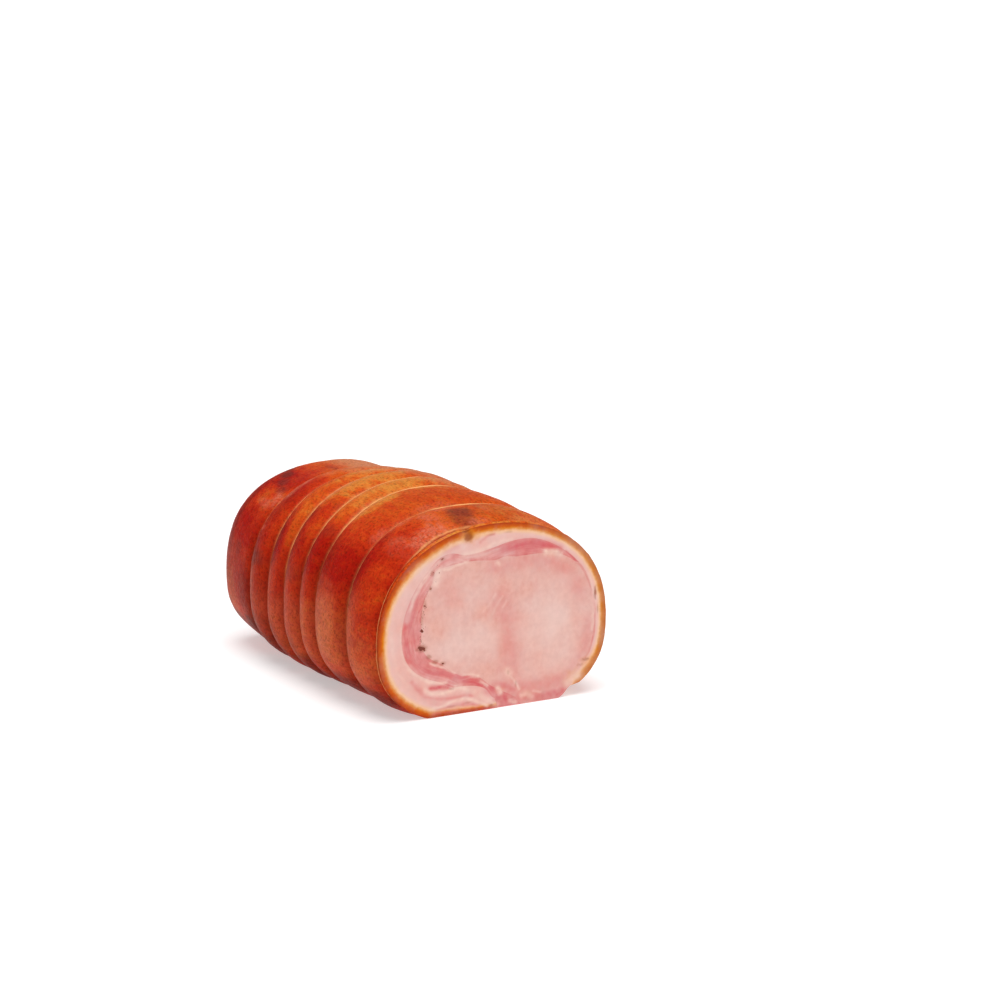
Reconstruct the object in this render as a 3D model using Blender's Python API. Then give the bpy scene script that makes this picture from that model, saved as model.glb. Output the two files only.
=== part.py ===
"""Half of a rolled and tied pork roast, lying on its seam, with the cut across it facing -Y.

A thick wrap of rind and fat runs round the roll and closes its far end. A band of
darker belly lean lies inside it, and the pale loin fills the middle. The wrap's two
edges don't meet: along the underside the lean and the loin show between them.
Lengths here are millimetres, turned into metres when the meshes are made.
"""

import math

import bmesh
import bpy
import numpy as np

MM = 0.001

# Cut face
HALF_LEFT = 85.2
HALF_RIGHT = 84.5
HEIGHT = 123.0
BELT_HEIGHT = 48.1
FLATTENED = 6.3
POWER_UPPER_LEFT = 2.19
POWER_UPPER_RIGHT = 2.29
POWER_LOWER_RIGHT = 2.4
POWER_LOWER_LEFT = 2.36
CENTRE_X = 4.0
CENTRE_Z = 55.0

# Swelling behind the cut, as shares of the cut face's sizes
SWELL_REACH = 189.0
SWELL_LEFT = (0.166, -0.151)
SWELL_RIGHT = (0.022, 0.007)
SWELL_TOP = (0.26, -0.212)
SLACK_UPPER_RIGHT = 0.38
SETTLE_UPPER_LEFT = 0.17
SETTLE_LOWER_LEFT = 0.22

# Length and the rounded far end
LENGTH = 260.0
END_ROUND = 41.0
END_POWER = 4.2
END_CENTRE = 1.25
END_LIFT = 4.5
END_LIFT_FROM = 195.0
END_LIFT_TO = 240.0
PUCKERS = 7
PUCKER_DEPTH = 2.2

# Marks that the string left, from the cut to the far end
TIES = (4.8, 43.1, 85.2, 108.6, 135.3, 161.6, 191.0)
STRING_LEAN = (0.0, 3.0, 7.0, 8.0, 9.0, 4.0, 3.0)
LEAN_RISE = (25.0, 65.0)
LEAN_FALL = (100.0, 150.0)
CREASE_DEPTH = 2.4
CREASE_WIDTH = 2.8
FLANK_DEEPER = 0.65
FLANK_FROM = (120.0, 82.0)
FLANK_TO = (42.0, 25.0)
BULGE = 1.5
BULGE_SPAN = 28.0
END_BULGE = 0.2
RIM_FLARE = 0.8
RIM_ROUND = 0.8

# Layers: depth under the outer surface at angles round the roll, in degrees from +X
FAT_DEPTH = {
    318.0: 3.0, 324.0: 8.0, 0.0: 7.4, 25.0: 8.0, 45.0: 9.7, 65.0: 10.0, 80.0: 12.5,
    95.0: 16.0, 108.0: 18.0, 118.0: 17.0, 125.0: 12.2, 133.0: 11.3, 142.0: 13.6,
    160.0: 16.0, 182.0: 17.0, 195.0: 20.4, 208.0: 25.3, 217.0: 27.0, 244.0: 18.8,
    255.0: 14.3, 265.0: 6.8,
}
LOIN_DEPTH = {
    0.0: 9.0, 30.0: 10.2, 42.0: 13.0, 52.0: 17.6, 71.0: 22.8, 86.0: 22.9, 95.0: 24.6,
    116.0: 22.6, 130.0: 20.0, 139.0: 17.4, 145.0: 21.5, 150.0: 23.6, 158.0: 25.5,
    168.0: 28.5, 177.0: 31.0, 187.0: 31.6, 195.0: 35.0, 204.0: 39.6, 212.0: 38.8,
    233.0: 31.0, 259.0: 16.3, 270.0: 11.6, 283.0: 5.4, 286.2: 0.0,
}
GAP = 0.36
LAYER_END = 240.0
LAYERS_SHORT = 0.5

# The two edges of the wrap on the underside
FLAP_INNER = -41.9
FLAP_OUTER = -37.5
SEAM_INNER = 265.0
SEAM_OUTER = 267.9
LEAN_TOP_END = 30.0
LEAN_FLOOR_END = 286.2

# Resolution
WRAP_STEPS = 48
SLOT_STEPS = 8
TABLE_STEPS = 1440


def clear_scene():
    for obj in list(bpy.data.objects):
        bpy.data.objects.remove(obj, do_unlink=True)


def round_keys(keys, angle):
    """Smooth periodic curve through the values given at angles in degrees."""
    known = sorted(keys)
    values = [keys[a] for a in known]
    count = len(known)
    angle = angle % 360.0
    after = next((i for i, a in enumerate(known) if a > angle), 0)
    picks = [(after + k) % count for k in (-2, -1, 0, 1)]
    turns = [(after + k) // count for k in (-2, -1, 0, 1)]
    if after == 0 and angle >= known[-1]:
        turns = [(count + k) // count for k in (-2, -1, 0, 1)]
    a = [known[p] + 360.0 * t for p, t in zip(picks, turns)]
    v = [values[p] for p in picks]
    span = a[2] - a[1]
    u = (angle - a[1]) / span
    slope_1 = (v[2] - v[0]) / (a[2] - a[0]) * span
    slope_2 = (v[3] - v[1]) / (a[3] - a[1]) * span
    lowest = min(v[1], v[2])
    value = (
        (2 * u**3 - 3 * u**2 + 1) * v[1]
        + (u**3 - 2 * u**2 + u) * slope_1
        + (3 * u**2 - 2 * u**3) * v[2]
        + (u**3 - u**2) * slope_2
    )
    return max(value, lowest - 1.0)


def swell(shares, y):
    t = y / SWELL_REACH
    return 1.0 + shares[0] * t + shares[1] * t * t


def reach_table(y):
    """Directions from the centre and distances to the round outline of the section at y."""
    left = HALF_LEFT * swell(SWELL_LEFT, y)
    right = HALF_RIGHT * swell(SWELL_RIGHT, y)
    top = HEIGHT * swell(SWELL_TOP, y)
    belt = BELT_HEIGHT * top / HEIGHT
    behind = min(2.0 * y / SWELL_REACH, 1.0)
    upper_left = POWER_UPPER_LEFT + SETTLE_UPPER_LEFT * behind
    upper_right = POWER_UPPER_RIGHT - SLACK_UPPER_RIGHT * behind
    lower_left = POWER_LOWER_LEFT + SETTLE_LOWER_LEFT * behind
    a = np.linspace(0.0, 2.0 * math.pi, TABLE_STEPS, endpoint=False)
    ca = np.cos(a)
    sa = np.sin(a)
    upper = np.where(ca < 0, upper_left, upper_right)
    lower = np.where(ca < 0, lower_left, POWER_LOWER_RIGHT)
    power = np.where(sa < 0, lower, upper)
    r = (np.abs(ca) ** power + np.abs(sa) ** power) ** (-1.0 / power)
    x = np.where(ca < 0, left, right) * ca * r - CENTRE_X
    z = belt + np.where(sa < 0, belt + FLATTENED, top - belt) * sa * r - CENTRE_Z
    direction = np.degrees(np.arctan2(z, x)) % 360.0
    order = np.argsort(direction)
    return direction[order], np.hypot(x, z)[order]


def floor_reach(angle):
    """Distance from the centre down to the flat underside."""
    down = -math.sin(math.radians(angle))
    return CENTRE_Z / down if down > 1e-6 else 1e6


def flank_share(angle, y):
    """How much of the deeper creasing low on both flanks a place gets; none at the rim."""
    below = abs((angle - 90.0) % 360.0 - 180.0)
    rise = (FLANK_FROM[0] - below) / (FLANK_FROM[0] - FLANK_FROM[1])
    fall = (below - FLANK_TO[1]) / (FLANK_TO[0] - FLANK_TO[1])
    share = min(max(min(rise, fall), 0.0), 1.0)
    along = min(max((y - 10.0) / 15.0, 0.0), 1.0)
    return FLANK_DEEPER * along * share * share * (3.0 - 2.0 * share)


def crease(angle, y):
    """Radial change from the string marks, the bulging between them and slow unevenness."""
    near = min(abs(y - tie) for tie in TIES)
    deeper = 1.0 + flank_share(angle, y)
    change = -CREASE_DEPTH * deeper * math.exp(-near / CREASE_WIDTH)
    edges = (0.0,) + TIES + (LENGTH,)
    for low, high in zip(edges[:-1], edges[1:]):
        if low <= y < high:
            u = (y - low) / (high - low)
            full = BULGE if high < LENGTH else END_BULGE
            change += full * deeper * min(1.0, (high - low) / BULGE_SPAN) * 4.0 * u * (1.0 - u)
    a = math.radians(angle)
    change += 0.5 * math.sin(2.0 * a + y / 31.0 + 1.0)
    change += 0.4 * math.sin(3.0 * a - y / 23.0 + 2.0)
    change += 0.3 * math.sin(5.0 * a + y / 17.0)
    return change + RIM_FLARE * max(0.0, 1.0 - y / 4.8)


def string_lean(angle, y):
    """How far back the rind of a station sits over the top, where the strings lean from the cut."""
    along = float(np.interp(y, (0.0,) + TIES + (LAYER_END,), (0.0,) + STRING_LEAN + (0.0,)))
    rise = (angle % 360.0 - LEAN_RISE[0]) / (LEAN_RISE[1] - LEAN_RISE[0])
    fall = (LEAN_FALL[1] - angle % 360.0) / (LEAN_FALL[1] - LEAN_FALL[0])
    share = min(max(min(rise, fall), 0.0), 1.0)
    return along * share * share * (3.0 - 2.0 * share)


def end_share(y):
    """How far the section has closed: 1 along the roll, 0 at the far tip."""
    q = min(max((y - (LENGTH - END_ROUND)) / END_ROUND, 0.0), 1.0)
    return (1.0 - q**END_POWER) ** (1.0 / END_POWER)


def place(angle, reach, y):
    """Point at a direction and distance from the centre, with the far end closed and lifted."""
    a = math.radians(angle)
    x = CENTRE_X + reach * math.cos(a)
    z = max(CENTRE_Z + reach * math.sin(a), 0.0)
    share = end_share(y)
    pivot = BELT_HEIGHT * swell(SWELL_TOP, y) * END_CENTRE
    lift = min(max((y - END_LIFT_FROM) / (END_LIFT_TO - END_LIFT_FROM), 0.0), 1.0)
    lift = END_LIFT * lift * lift * (3.0 - 2.0 * lift)
    return (x * share, y, pivot + (z - pivot) * share + lift)


class Section:
    """Distances from the centre to the layers' boundaries at one station along the roll."""

    def __init__(self, y):
        self.y = y
        self.directions, self.distances = reach_table(y)

    def round_reach(self, angle):
        return float(np.interp(angle % 360.0, self.directions, self.distances, period=360.0))

    def smooth(self, angle):
        return min(self.round_reach(angle), floor_reach(angle))

    def outer(self, angle, inset=0.0):
        reach = self.round_reach(angle) + crease(angle, self.y) - inset
        fold = max(0.0, (self.y - (LENGTH - END_ROUND)) / END_ROUND) ** 3
        reach -= PUCKER_DEPTH * fold * abs(math.sin(math.radians(angle) * PUCKERS / 2.0))
        x, y, z = place(angle, min(reach, floor_reach(angle)), self.y)
        return (x, y + string_lean(angle, self.y), z)

    def fat(self, angle, gap=0.0):
        return place(angle, self.smooth(angle) - round_keys(FAT_DEPTH, angle) - gap, self.y)

    def loin(self, angle, gap=0.0):
        return place(angle, self.smooth(angle) - round_keys(LOIN_DEPTH, angle) - gap, self.y)

    def floor(self, angle, inset=0.0):
        return place(angle, self.smooth(angle) - inset, self.y)


def spread(start, stop, steps):
    return [start + (stop - start) * i / steps for i in range(steps + 1)]


def wrap_angles():
    inner = spread(FLAP_INNER, SEAM_INNER, WRAP_STEPS)
    outer = []
    for i, angle in enumerate(inner):
        near_flap = max(0.0, 1.0 - i / 4.0)
        near_seam = max(0.0, 1.0 - (WRAP_STEPS - i) / 4.0)
        shift = (FLAP_OUTER - FLAP_INNER) * near_flap + (SEAM_OUTER - SEAM_INNER) * near_seam
        outer.append(angle + shift)
    return inner, outer


def outer_stations():
    """Stations of the rind: dense at the rim and at each string mark, and at the far end."""
    stations = [0.0, 0.8, 2.2]
    edges = TIES + (LAYER_END,)
    for low, high in zip(edges[:-1], edges[1:]):
        stations += [low, low + 2.2, low + 6.0]
        middle = (high - low - 12.0) if high < LAYER_END else (high - low - 6.0)
        parts = max(1, round(middle / 13.0))
        stations += [low + 6.0 + middle * k / parts for k in range(1, parts)]
        if high < LAYER_END:
            stations += [high - 6.0, high - 2.2] if high - low > 14.0 else []
    stations += [LAYER_END]
    closing = LENGTH - LAYER_END
    stations += [LAYER_END + closing * math.sin(math.pi / 2 * k / 7) for k in range(1, 7)]
    kept = []
    for y in sorted(stations):
        if not kept or y - kept[-1] > 0.4:
            kept.append(y)
    return kept


def inner_stations():
    return [0.0, TIES[1], TIES[2], TIES[4], TIES[5], TIES[6], 208.8, 225.0, LAYER_END]


def mesh_object(name, points, faces, collection, material, centre):
    mesh = bpy.data.meshes.new(name)
    shift = np.array(centre)
    mesh.from_pydata([tuple((np.array(p) - shift) * MM) for p in points], [], faces)
    work = bmesh.new()
    work.from_mesh(mesh)
    bmesh.ops.recalc_face_normals(work, faces=work.faces)
    work.to_mesh(mesh)
    work.free()
    mesh.polygons.foreach_set("use_smooth", [True] * len(mesh.polygons))
    mesh.set_sharp_from_angle(angle=math.radians(50.0))
    mesh.materials.append(material)
    mesh.update()
    obj = bpy.data.objects.new(name, mesh)
    collection.objects.link(obj)
    return obj


def inner_edge(points, stations, layers, inner, side):
    """One long edge of the wrap's inner face, with a point at every station up to the layers' end."""
    edge = []
    for y in stations:
        if y > LAYER_END:
            break
        if y in layers:
            edge.append(inner[layers.index(y)][side])
            continue
        k = max(i for i, layer in enumerate(layers) if layer < y)
        u = (y - layers[k]) / (layers[k + 1] - layers[k])
        start = np.array(points[inner[k][side]])
        stop = np.array(points[inner[k + 1][side]])
        edge.append(len(points))
        points.append(tuple(start + (stop - start) * u))
    return edge


def wrap_mesh():
    """The rind and fat: a C-shaped wall along the roll, closed round the far end."""
    inner_angles, outer_angles = wrap_angles()
    slot_angles = spread(outer_angles[-1], 360.0 + outer_angles[0], SLOT_STEPS)[1:-1]
    stations = outer_stations()
    layers = sorted(set(inner_stations()))
    stations = sorted(set(stations) | set(layers))
    points = []
    outer = []
    slot = {}
    for j, y in enumerate(stations):
        section = Section(y)
        inset = RIM_ROUND * (1.0 - min(y / 2.2, 1.0)) ** 2
        outer.append([len(points) + i for i in range(len(outer_angles))])
        points += [section.outer(a, inset) for a in outer_angles]
        if y >= LAYER_END:
            slot[j] = [len(points) + i for i in range(len(slot_angles))]
            points += [section.outer(a) for a in slot_angles]
    inner = []
    for y in layers:
        section = Section(y)
        inner.append([len(points) + i for i in range(len(inner_angles))])
        points += [section.fat(a) for a in inner_angles]
    edges = [inner_edge(points, stations, layers, inner, side) for side in (0, -1)]
    tip = len(points)
    points.append(place(0.0, 0.0, LENGTH))

    faces = []
    last = len(stations) - 1
    cut_end = stations.index(LAYER_END)
    for j in range(last):
        for i in range(WRAP_STEPS):
            faces.append((outer[j][i], outer[j][i + 1], outer[j + 1][i + 1], outer[j + 1][i]))
    for j in range(cut_end, last):
        here = [outer[j][-1]] + slot[j] + [outer[j][0]]
        there = [outer[j + 1][-1]] + slot[j + 1] + [outer[j + 1][0]]
        for i in range(len(here) - 1):
            faces.append((here[i], here[i + 1], there[i + 1], there[i]))
    ring = outer[last] + slot[last]
    for i in range(len(ring)):
        faces.append((ring[i], ring[(i + 1) % len(ring)], tip))
    for i in range(WRAP_STEPS):
        faces.append((outer[0][i], inner[0][i], inner[0][i + 1], outer[0][i + 1]))
    for k in range(len(layers) - 1):
        first = stations.index(layers[k])
        second = stations.index(layers[k + 1])
        for i in range(WRAP_STEPS):
            near, far = inner[k], inner[k + 1]
            if i == 0:
                line = edges[0][first : second + 1]
                faces += [(a, b, far[1]) for a, b in zip(line[:-1], line[1:])]
            else:
                faces.append((near[i], far[i], far[i + 1]))
            if i == WRAP_STEPS - 1:
                line = edges[1][first : second + 1]
                faces += [(near[i], b, a) for a, b in zip(line[:-1], line[1:])]
            else:
                faces.append((near[i], far[i + 1], near[i + 1]))
        for side, edge in zip((0, -1), edges):
            for j in range(first, second):
                faces.append((outer[j][side], outer[j + 1][side], edge[j + 1], edge[j]))
    faces.append(tuple(inner[-1] + [outer[cut_end][-1]] + slot[cut_end] + [outer[cut_end][0]]))
    return points, faces


def loft(rings):
    """Closed solid through rings of (angle, point), with flat ends.

    Each cell is split from its lower angle in front to its higher angle behind, so that
    two layers that face each other are split alike.
    """
    points = [point for ring in rings for _, point in ring]
    count = len(rings[0])
    faces = []
    for j in range(len(rings) - 1):
        for i in range(count):
            nxt = (i + 1) % count
            a, b = j * count + i, j * count + nxt
            c, d = b + count, a + count
            if rings[j][i][0] < rings[j][nxt][0]:
                faces += [(a, b, c), (a, c, d)]
            else:
                faces += [(a, b, d), (b, c, d)]
    faces.append(tuple(range(count)))
    faces.append(tuple(range((len(rings) - 1) * count, len(rings) * count)))
    return points, faces


def layer_stations():
    layers = inner_stations()
    return layers[:-1] + [LAYER_END - LAYERS_SHORT]


def lean_ring(section):
    """Band between the fat and the loin, open on the right, down to the underside."""
    inner_angles, _ = wrap_angles()
    band = [a for a in inner_angles if a >= LEAN_TOP_END]
    ring = [(a, section.fat(a, GAP)) for a in band[:-1]]
    ring.append((SEAM_INNER, section.fat(SEAM_INNER + 0.4, GAP + 0.1)))
    ring += [(a, section.floor(a)) for a in (268.4, 274.0, 280.0, LEAN_FLOOR_END - 0.2)]
    ring += [(a, section.loin(a, -GAP / 2)) for a in (282.0, 276.0, 270.0)]
    ring += [(a, section.loin(a, -GAP / 2)) for a in reversed(band)]
    return ring


def loin_ring(section):
    """The middle: against the fat on the right, inside the lean elsewhere, bare underneath."""
    inner_angles, _ = wrap_angles()
    band = [a for a in inner_angles if a >= LEAN_TOP_END]
    bare = [a for a in inner_angles if a < LEAN_TOP_END]
    step = band[0] - 0.45
    ring = [(a, section.fat(a, GAP)) for a in bare + [step]]
    ring += [(a, section.loin(a, GAP / 2)) for a in [step] + band]
    ring += [(a, section.loin(a, GAP / 2)) for a in (270.0, 276.0, 282.0)]
    ring += [(a, section.floor(a)) for a in (LEAN_FLOOR_END + 0.3, 294.0, 302.0, 309.0)]
    ring += [(312.5, section.floor(312.5, 0.2)), (315.5, section.floor(315.5, 1.0))]
    return ring


def principled(name, colour, roughness):
    material = bpy.data.materials.new(name)
    material.use_nodes = True
    shader = material.node_tree.nodes["Principled BSDF"]
    shader.inputs["Base Color"].default_value = (*colour, 1.0)
    shader.inputs["Roughness"].default_value = roughness
    shader.inputs["Metallic"].default_value = 0.0
    material.diffuse_color = (*colour, 1.0)
    return material


def main():
    clear_scene()
    collection = bpy.data.collections.new("porchetta")
    bpy.context.scene.collection.children.link(collection)

    wrap_points, wrap_faces = wrap_mesh()
    extent = np.array(wrap_points)
    centre = (extent.min(axis=0) + extent.max(axis=0)) / 2
    centre[2] = 0.0

    rind = principled("rind", (0.48, 0.14, 0.035), 0.38)
    lean = principled("lean", (0.62, 0.20, 0.18), 0.5)
    loin = principled("loin", (0.78, 0.42, 0.36), 0.5)

    mesh_object("rind_and_fat", wrap_points, wrap_faces, collection, rind, centre)
    sections = [Section(y) for y in layer_stations()]
    points, faces = loft([lean_ring(s) for s in sections])
    mesh_object("belly_lean", points, faces, collection, lean, centre)
    points, faces = loft([loin_ring(s) for s in sections])
    mesh_object("loin", points, faces, collection, loin, centre)


main()
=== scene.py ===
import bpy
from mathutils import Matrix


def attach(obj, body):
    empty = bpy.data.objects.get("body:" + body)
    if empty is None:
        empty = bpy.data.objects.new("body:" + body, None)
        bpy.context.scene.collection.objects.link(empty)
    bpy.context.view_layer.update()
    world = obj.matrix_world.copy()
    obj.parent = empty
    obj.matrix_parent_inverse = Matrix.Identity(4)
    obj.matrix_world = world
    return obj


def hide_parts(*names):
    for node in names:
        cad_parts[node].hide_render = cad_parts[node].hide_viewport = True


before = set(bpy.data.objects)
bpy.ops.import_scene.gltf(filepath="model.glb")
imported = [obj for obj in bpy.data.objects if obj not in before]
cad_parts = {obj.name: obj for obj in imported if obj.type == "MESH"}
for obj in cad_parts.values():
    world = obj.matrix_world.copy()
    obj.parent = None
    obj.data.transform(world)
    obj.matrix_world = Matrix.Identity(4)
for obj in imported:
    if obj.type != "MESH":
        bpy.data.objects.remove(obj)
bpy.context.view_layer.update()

import math

import bmesh
import bpy
import numpy as np
from mathutils import Vector

bl_info = {
    "name": "Rolled pork roast",
    "version": (1, 0, 0),
    "blender": (4, 5, 0),
    "location": "View3D > Sidebar > Roast",
    "description": "A cut, rolled and tied pork roast with its rind, fat, lean, loin and herbs",
    "category": "Object",
}

MM = 0.001

# The solids' own sizes, in millimetres: y runs from the cut to the far end
SHIFT_X = -1.28018
HALF_LENGTH = 130.0
HALF_LEFT = 85.2
HALF_RIGHT = 84.5
HEIGHT = 123.0
BELT_HEIGHT = 48.1
FLATTENED = 6.3
POWER_UPPER_LEFT = 2.19
POWER_UPPER_RIGHT = 2.29
POWER_LOWER_RIGHT = 2.4
POWER_LOWER_LEFT = 2.36
CENTRE_X = 4.0
CENTRE_Z = 55.0
SWELL_REACH = 189.0
SWELL_LEFT = (0.166, -0.151)
SWELL_RIGHT = (0.022, 0.007)
SWELL_TOP = (0.26, -0.212)
SLACK_UPPER_RIGHT = 0.38
SETTLE_UPPER_LEFT = 0.17
SETTLE_LOWER_LEFT = 0.22
LENGTH = 260.0
END_ROUND = 41.0
END_POWER = 4.2
END_CENTRE = 1.25
END_LIFT = 4.5
END_LIFT_FROM = 195.0
END_LIFT_TO = 240.0
PUCKERS = 7
PUCKER_DEPTH = 2.2
TIES = (4.8, 43.1, 85.2, 108.6, 135.3, 161.6, 191.0)
STRING_LEAN = (0.0, 3.0, 7.0, 8.0, 9.0, 4.0, 3.0)
LEAN_RISE = (25.0, 65.0)
LEAN_FALL = (100.0, 150.0)
CREASE_DEPTH = 2.4
CREASE_WIDTH = 2.8
FLANK_DEEPER = 0.65
FLANK_FROM = (120.0, 82.0)
FLANK_TO = (42.0, 25.0)
FLANK_START = 10.0
FLANK_RAMP = 15.0
BULGE = 1.5
BULGE_SPAN = 28.0
END_BULGE = 0.2
RIM_FLARE = 0.8
RIM_ROUND = 0.8
LAYER_END = 240.0
LAYERS_SHORT = 0.5
FLAP_INNER = -41.9
FLAP_OUTER = -37.5
SEAM_INNER = 265.0
SEAM_OUTER = 267.9
LEAN_TOP_END = 30.0
LEAN_START = LEAN_TOP_END - 0.4
LEAN_FLOOR_END = 286.2
FAT_DEPTH = {
    318: 3, 324: 8, 0: 7.4, 25: 8, 45: 9.7, 65: 10, 80: 12.5, 95: 16, 108: 18, 118: 17, 125: 12.2, 133: 11.3,
    142: 13.6, 160: 16, 182: 17, 195: 20.4, 208: 25.3, 217: 27, 244: 18.8, 255: 14.3, 265: 6.8,
}
LOIN_DEPTH = {
    0: 9, 30: 10.2, 42: 13, 52: 17.6, 71: 22.8, 86: 22.9, 95: 24.6, 116: 22.6, 130: 20, 139: 17.4, 145: 21.5,
    150: 23.6, 158: 25.5, 168: 28.5, 177: 31, 187: 31.6, 195: 35, 204: 39.6, 212: 38.8, 233: 31, 259: 16.3,
    270: 11.6, 283: 5.4, 286.2: 0,
}

# Fineness of the finished meshes
ROUND_STEPS = 352
FACE_STEPS = 34
GAP_STEPS = 60
SEAM_STEPS = 40
BARE_STEPS = 46
BAND_STEPS = 22
LOIN_RINGS = 66
STEP_ALONG = 2.7
TABLE_STEPS = 1440
SHARP_FROM = math.radians(58.0)


# Curves and unevenness


def srgb(red, green, blue):
    """Linear colour of a colour given as it looks on a screen, 0 to 255."""
    channels = [c / 255.0 for c in (red, green, blue)]
    return tuple(c / 12.92 if c <= 0.04045 else ((c + 0.055) / 1.055) ** 2.4 for c in channels)


def ease(value, low, high):
    """0 below low, 1 above high, smooth between."""
    t = np.clip((np.asarray(value, float) - low) / (high - low), 0.0, 1.0)
    return t * t * (3.0 - 2.0 * t)


def lattice(i, j, seed):
    """Fixed scattered value between 0 and 1 for each whole pair i, j."""
    mixed = np.sin(i * 127.1 + j * 311.7 + seed * 74.7) * 43758.5453
    return mixed - np.floor(mixed)


def noise(x, y, seed):
    """Smooth unevenness between -1 and 1, one hump for each unit of x and y."""
    i, j = np.floor(x), np.floor(y)
    u, v = x - i, y - j
    u, v = u * u * (3 - 2 * u), v * v * (3 - 2 * v)
    near = lattice(i, j, seed) * (1 - u) + lattice(i + 1, j, seed) * u
    far = lattice(i, j + 1, seed) * (1 - u) + lattice(i + 1, j + 1, seed) * u
    return 2.0 * (near * (1 - v) + far * v) - 1.0


def rough(x, y, seed):
    """Unevenness with finer humps on the wide ones, in three steps."""
    total, weight, size = 0.0, 1.0, 1.0
    for k in range(3):
        total = total + weight * noise(x * size + 3.7 * k, y * size - 5.1 * k, seed + k)
        weight, size = weight * 0.5, size * 2.03
    return total / 1.75


def bell(distance, width):
    """1 at no distance, fading evenly to both sides."""
    return np.exp(-((distance / width) ** 2))


def round_keys(keys, angles):
    """Smooth periodic curve through values given at angles in degrees."""
    known = np.array(sorted(keys))
    values = np.array([keys[a] for a in known])
    known = np.concatenate([known - 360.0, known, known + 360.0])
    values = np.tile(values, 3)
    angles = np.asarray(angles, float) % 360.0
    after = np.searchsorted(known, angles, side="right")
    a0, a1, a2, a3 = (known[after + k] for k in (-2, -1, 0, 1))
    v0, v1, v2, v3 = (values[after + k] for k in (-2, -1, 0, 1))
    span = a2 - a1
    u = (angles - a1) / span
    slope_1 = (v2 - v0) / (a2 - a0) * span
    slope_2 = (v3 - v1) / (a3 - a1) * span
    curve = (
        (2 * u**3 - 3 * u**2 + 1) * v1
        + (u**3 - 2 * u**2 + u) * slope_1
        + (3 * u**2 - 2 * u**3) * v2
        + (u**3 - u**2) * slope_2
    )
    return np.maximum(curve, np.minimum(v1, v2) - 1.0)


def from_path(x, z, path):
    """Distance from each point to a line through the given points."""
    best = np.full(np.shape(x), 1e9)
    for (ax, az), (bx, bz) in zip(path[:-1], path[1:]):
        dx, dz = bx - ax, bz - az
        t = np.clip(((x - ax) * dx + (z - az) * dz) / (dx * dx + dz * dz), 0.0, 1.0)
        best = np.minimum(best, np.hypot(x - ax - t * dx, z - az - t * dz))
    return best


# The roast's form


def swell(shares, y):
    """Size at one distance behind the cut, as a share of the size at the cut."""
    t = y / SWELL_REACH
    return 1.0 + shares[0] * t + shares[1] * t * t


def end_share(y):
    """How far the rounded end has drawn in: 1 before it, 0 at the tip."""
    q = min(max((y - (LENGTH - END_ROUND)) / END_ROUND, 0.0), 1.0)
    return (1.0 - q**END_POWER) ** (1.0 / END_POWER)


def floor_reach(angles):
    """Distance from the centre line to the floor in each direction."""
    down = -np.sin(np.radians(angles))
    return np.where(down > 1e-6, CENTRE_Z / np.maximum(down, 1e-6), 1e6)


def flank_share(angles, y):
    """How much of the deeper creasing low on both flanks a place gets; none at the rim."""
    below = np.abs((angles - 90.0) % 360.0 - 180.0)
    rise = (FLANK_FROM[0] - below) / (FLANK_FROM[0] - FLANK_FROM[1])
    fall = (below - FLANK_TO[1]) / (FLANK_TO[0] - FLANK_TO[1])
    along = min(max((y - FLANK_START) / FLANK_RAMP, 0.0), 1.0)
    return FLANK_DEEPER * along * ease(np.minimum(rise, fall), 0.0, 1.0)


def crease(angles, y):
    """Change of the radius by the string marks and the bulging between them."""
    near = min(abs(y - tie) for tie in TIES)
    deeper = 1.0 + flank_share(np.asarray(angles, float), y)
    change = -CREASE_DEPTH * deeper * math.exp(-near / CREASE_WIDTH)
    edges = (0.0,) + TIES + (LENGTH,)
    for low, high in zip(edges[:-1], edges[1:]):
        if low <= y < high:
            u = (y - low) / (high - low)
            full = BULGE if high < LENGTH else END_BULGE
            bulge = full * min(1.0, (high - low) / BULGE_SPAN) * 4.0 * u * (1.0 - u)
            change = change + bulge * deeper
    a = np.radians(angles)
    uneven = 0.5 * np.sin(2.0 * a + y / 31.0 + 1.0)
    uneven = uneven + 0.4 * np.sin(3.0 * a - y / 23.0 + 2.0)
    uneven = uneven + 0.3 * np.sin(5.0 * a + y / 17.0)
    return change + uneven + RIM_FLARE * max(0.0, 1.0 - y / TIES[0])


def string_lean(angles, y):
    """How far back the rind sits over the top, where the strings lean from the cut."""
    along = np.interp(y, (0.0,) + TIES + (LAYER_END,), (0.0,) + STRING_LEAN + (0.0,))
    angles = np.asarray(angles, float) % 360.0
    rise = (angles - LEAN_RISE[0]) / (LEAN_RISE[1] - LEAN_RISE[0])
    fall = (LEAN_FALL[1] - angles) / (LEAN_FALL[1] - LEAN_FALL[0])
    return along * ease(np.minimum(rise, fall), 0.0, 1.0)


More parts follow.
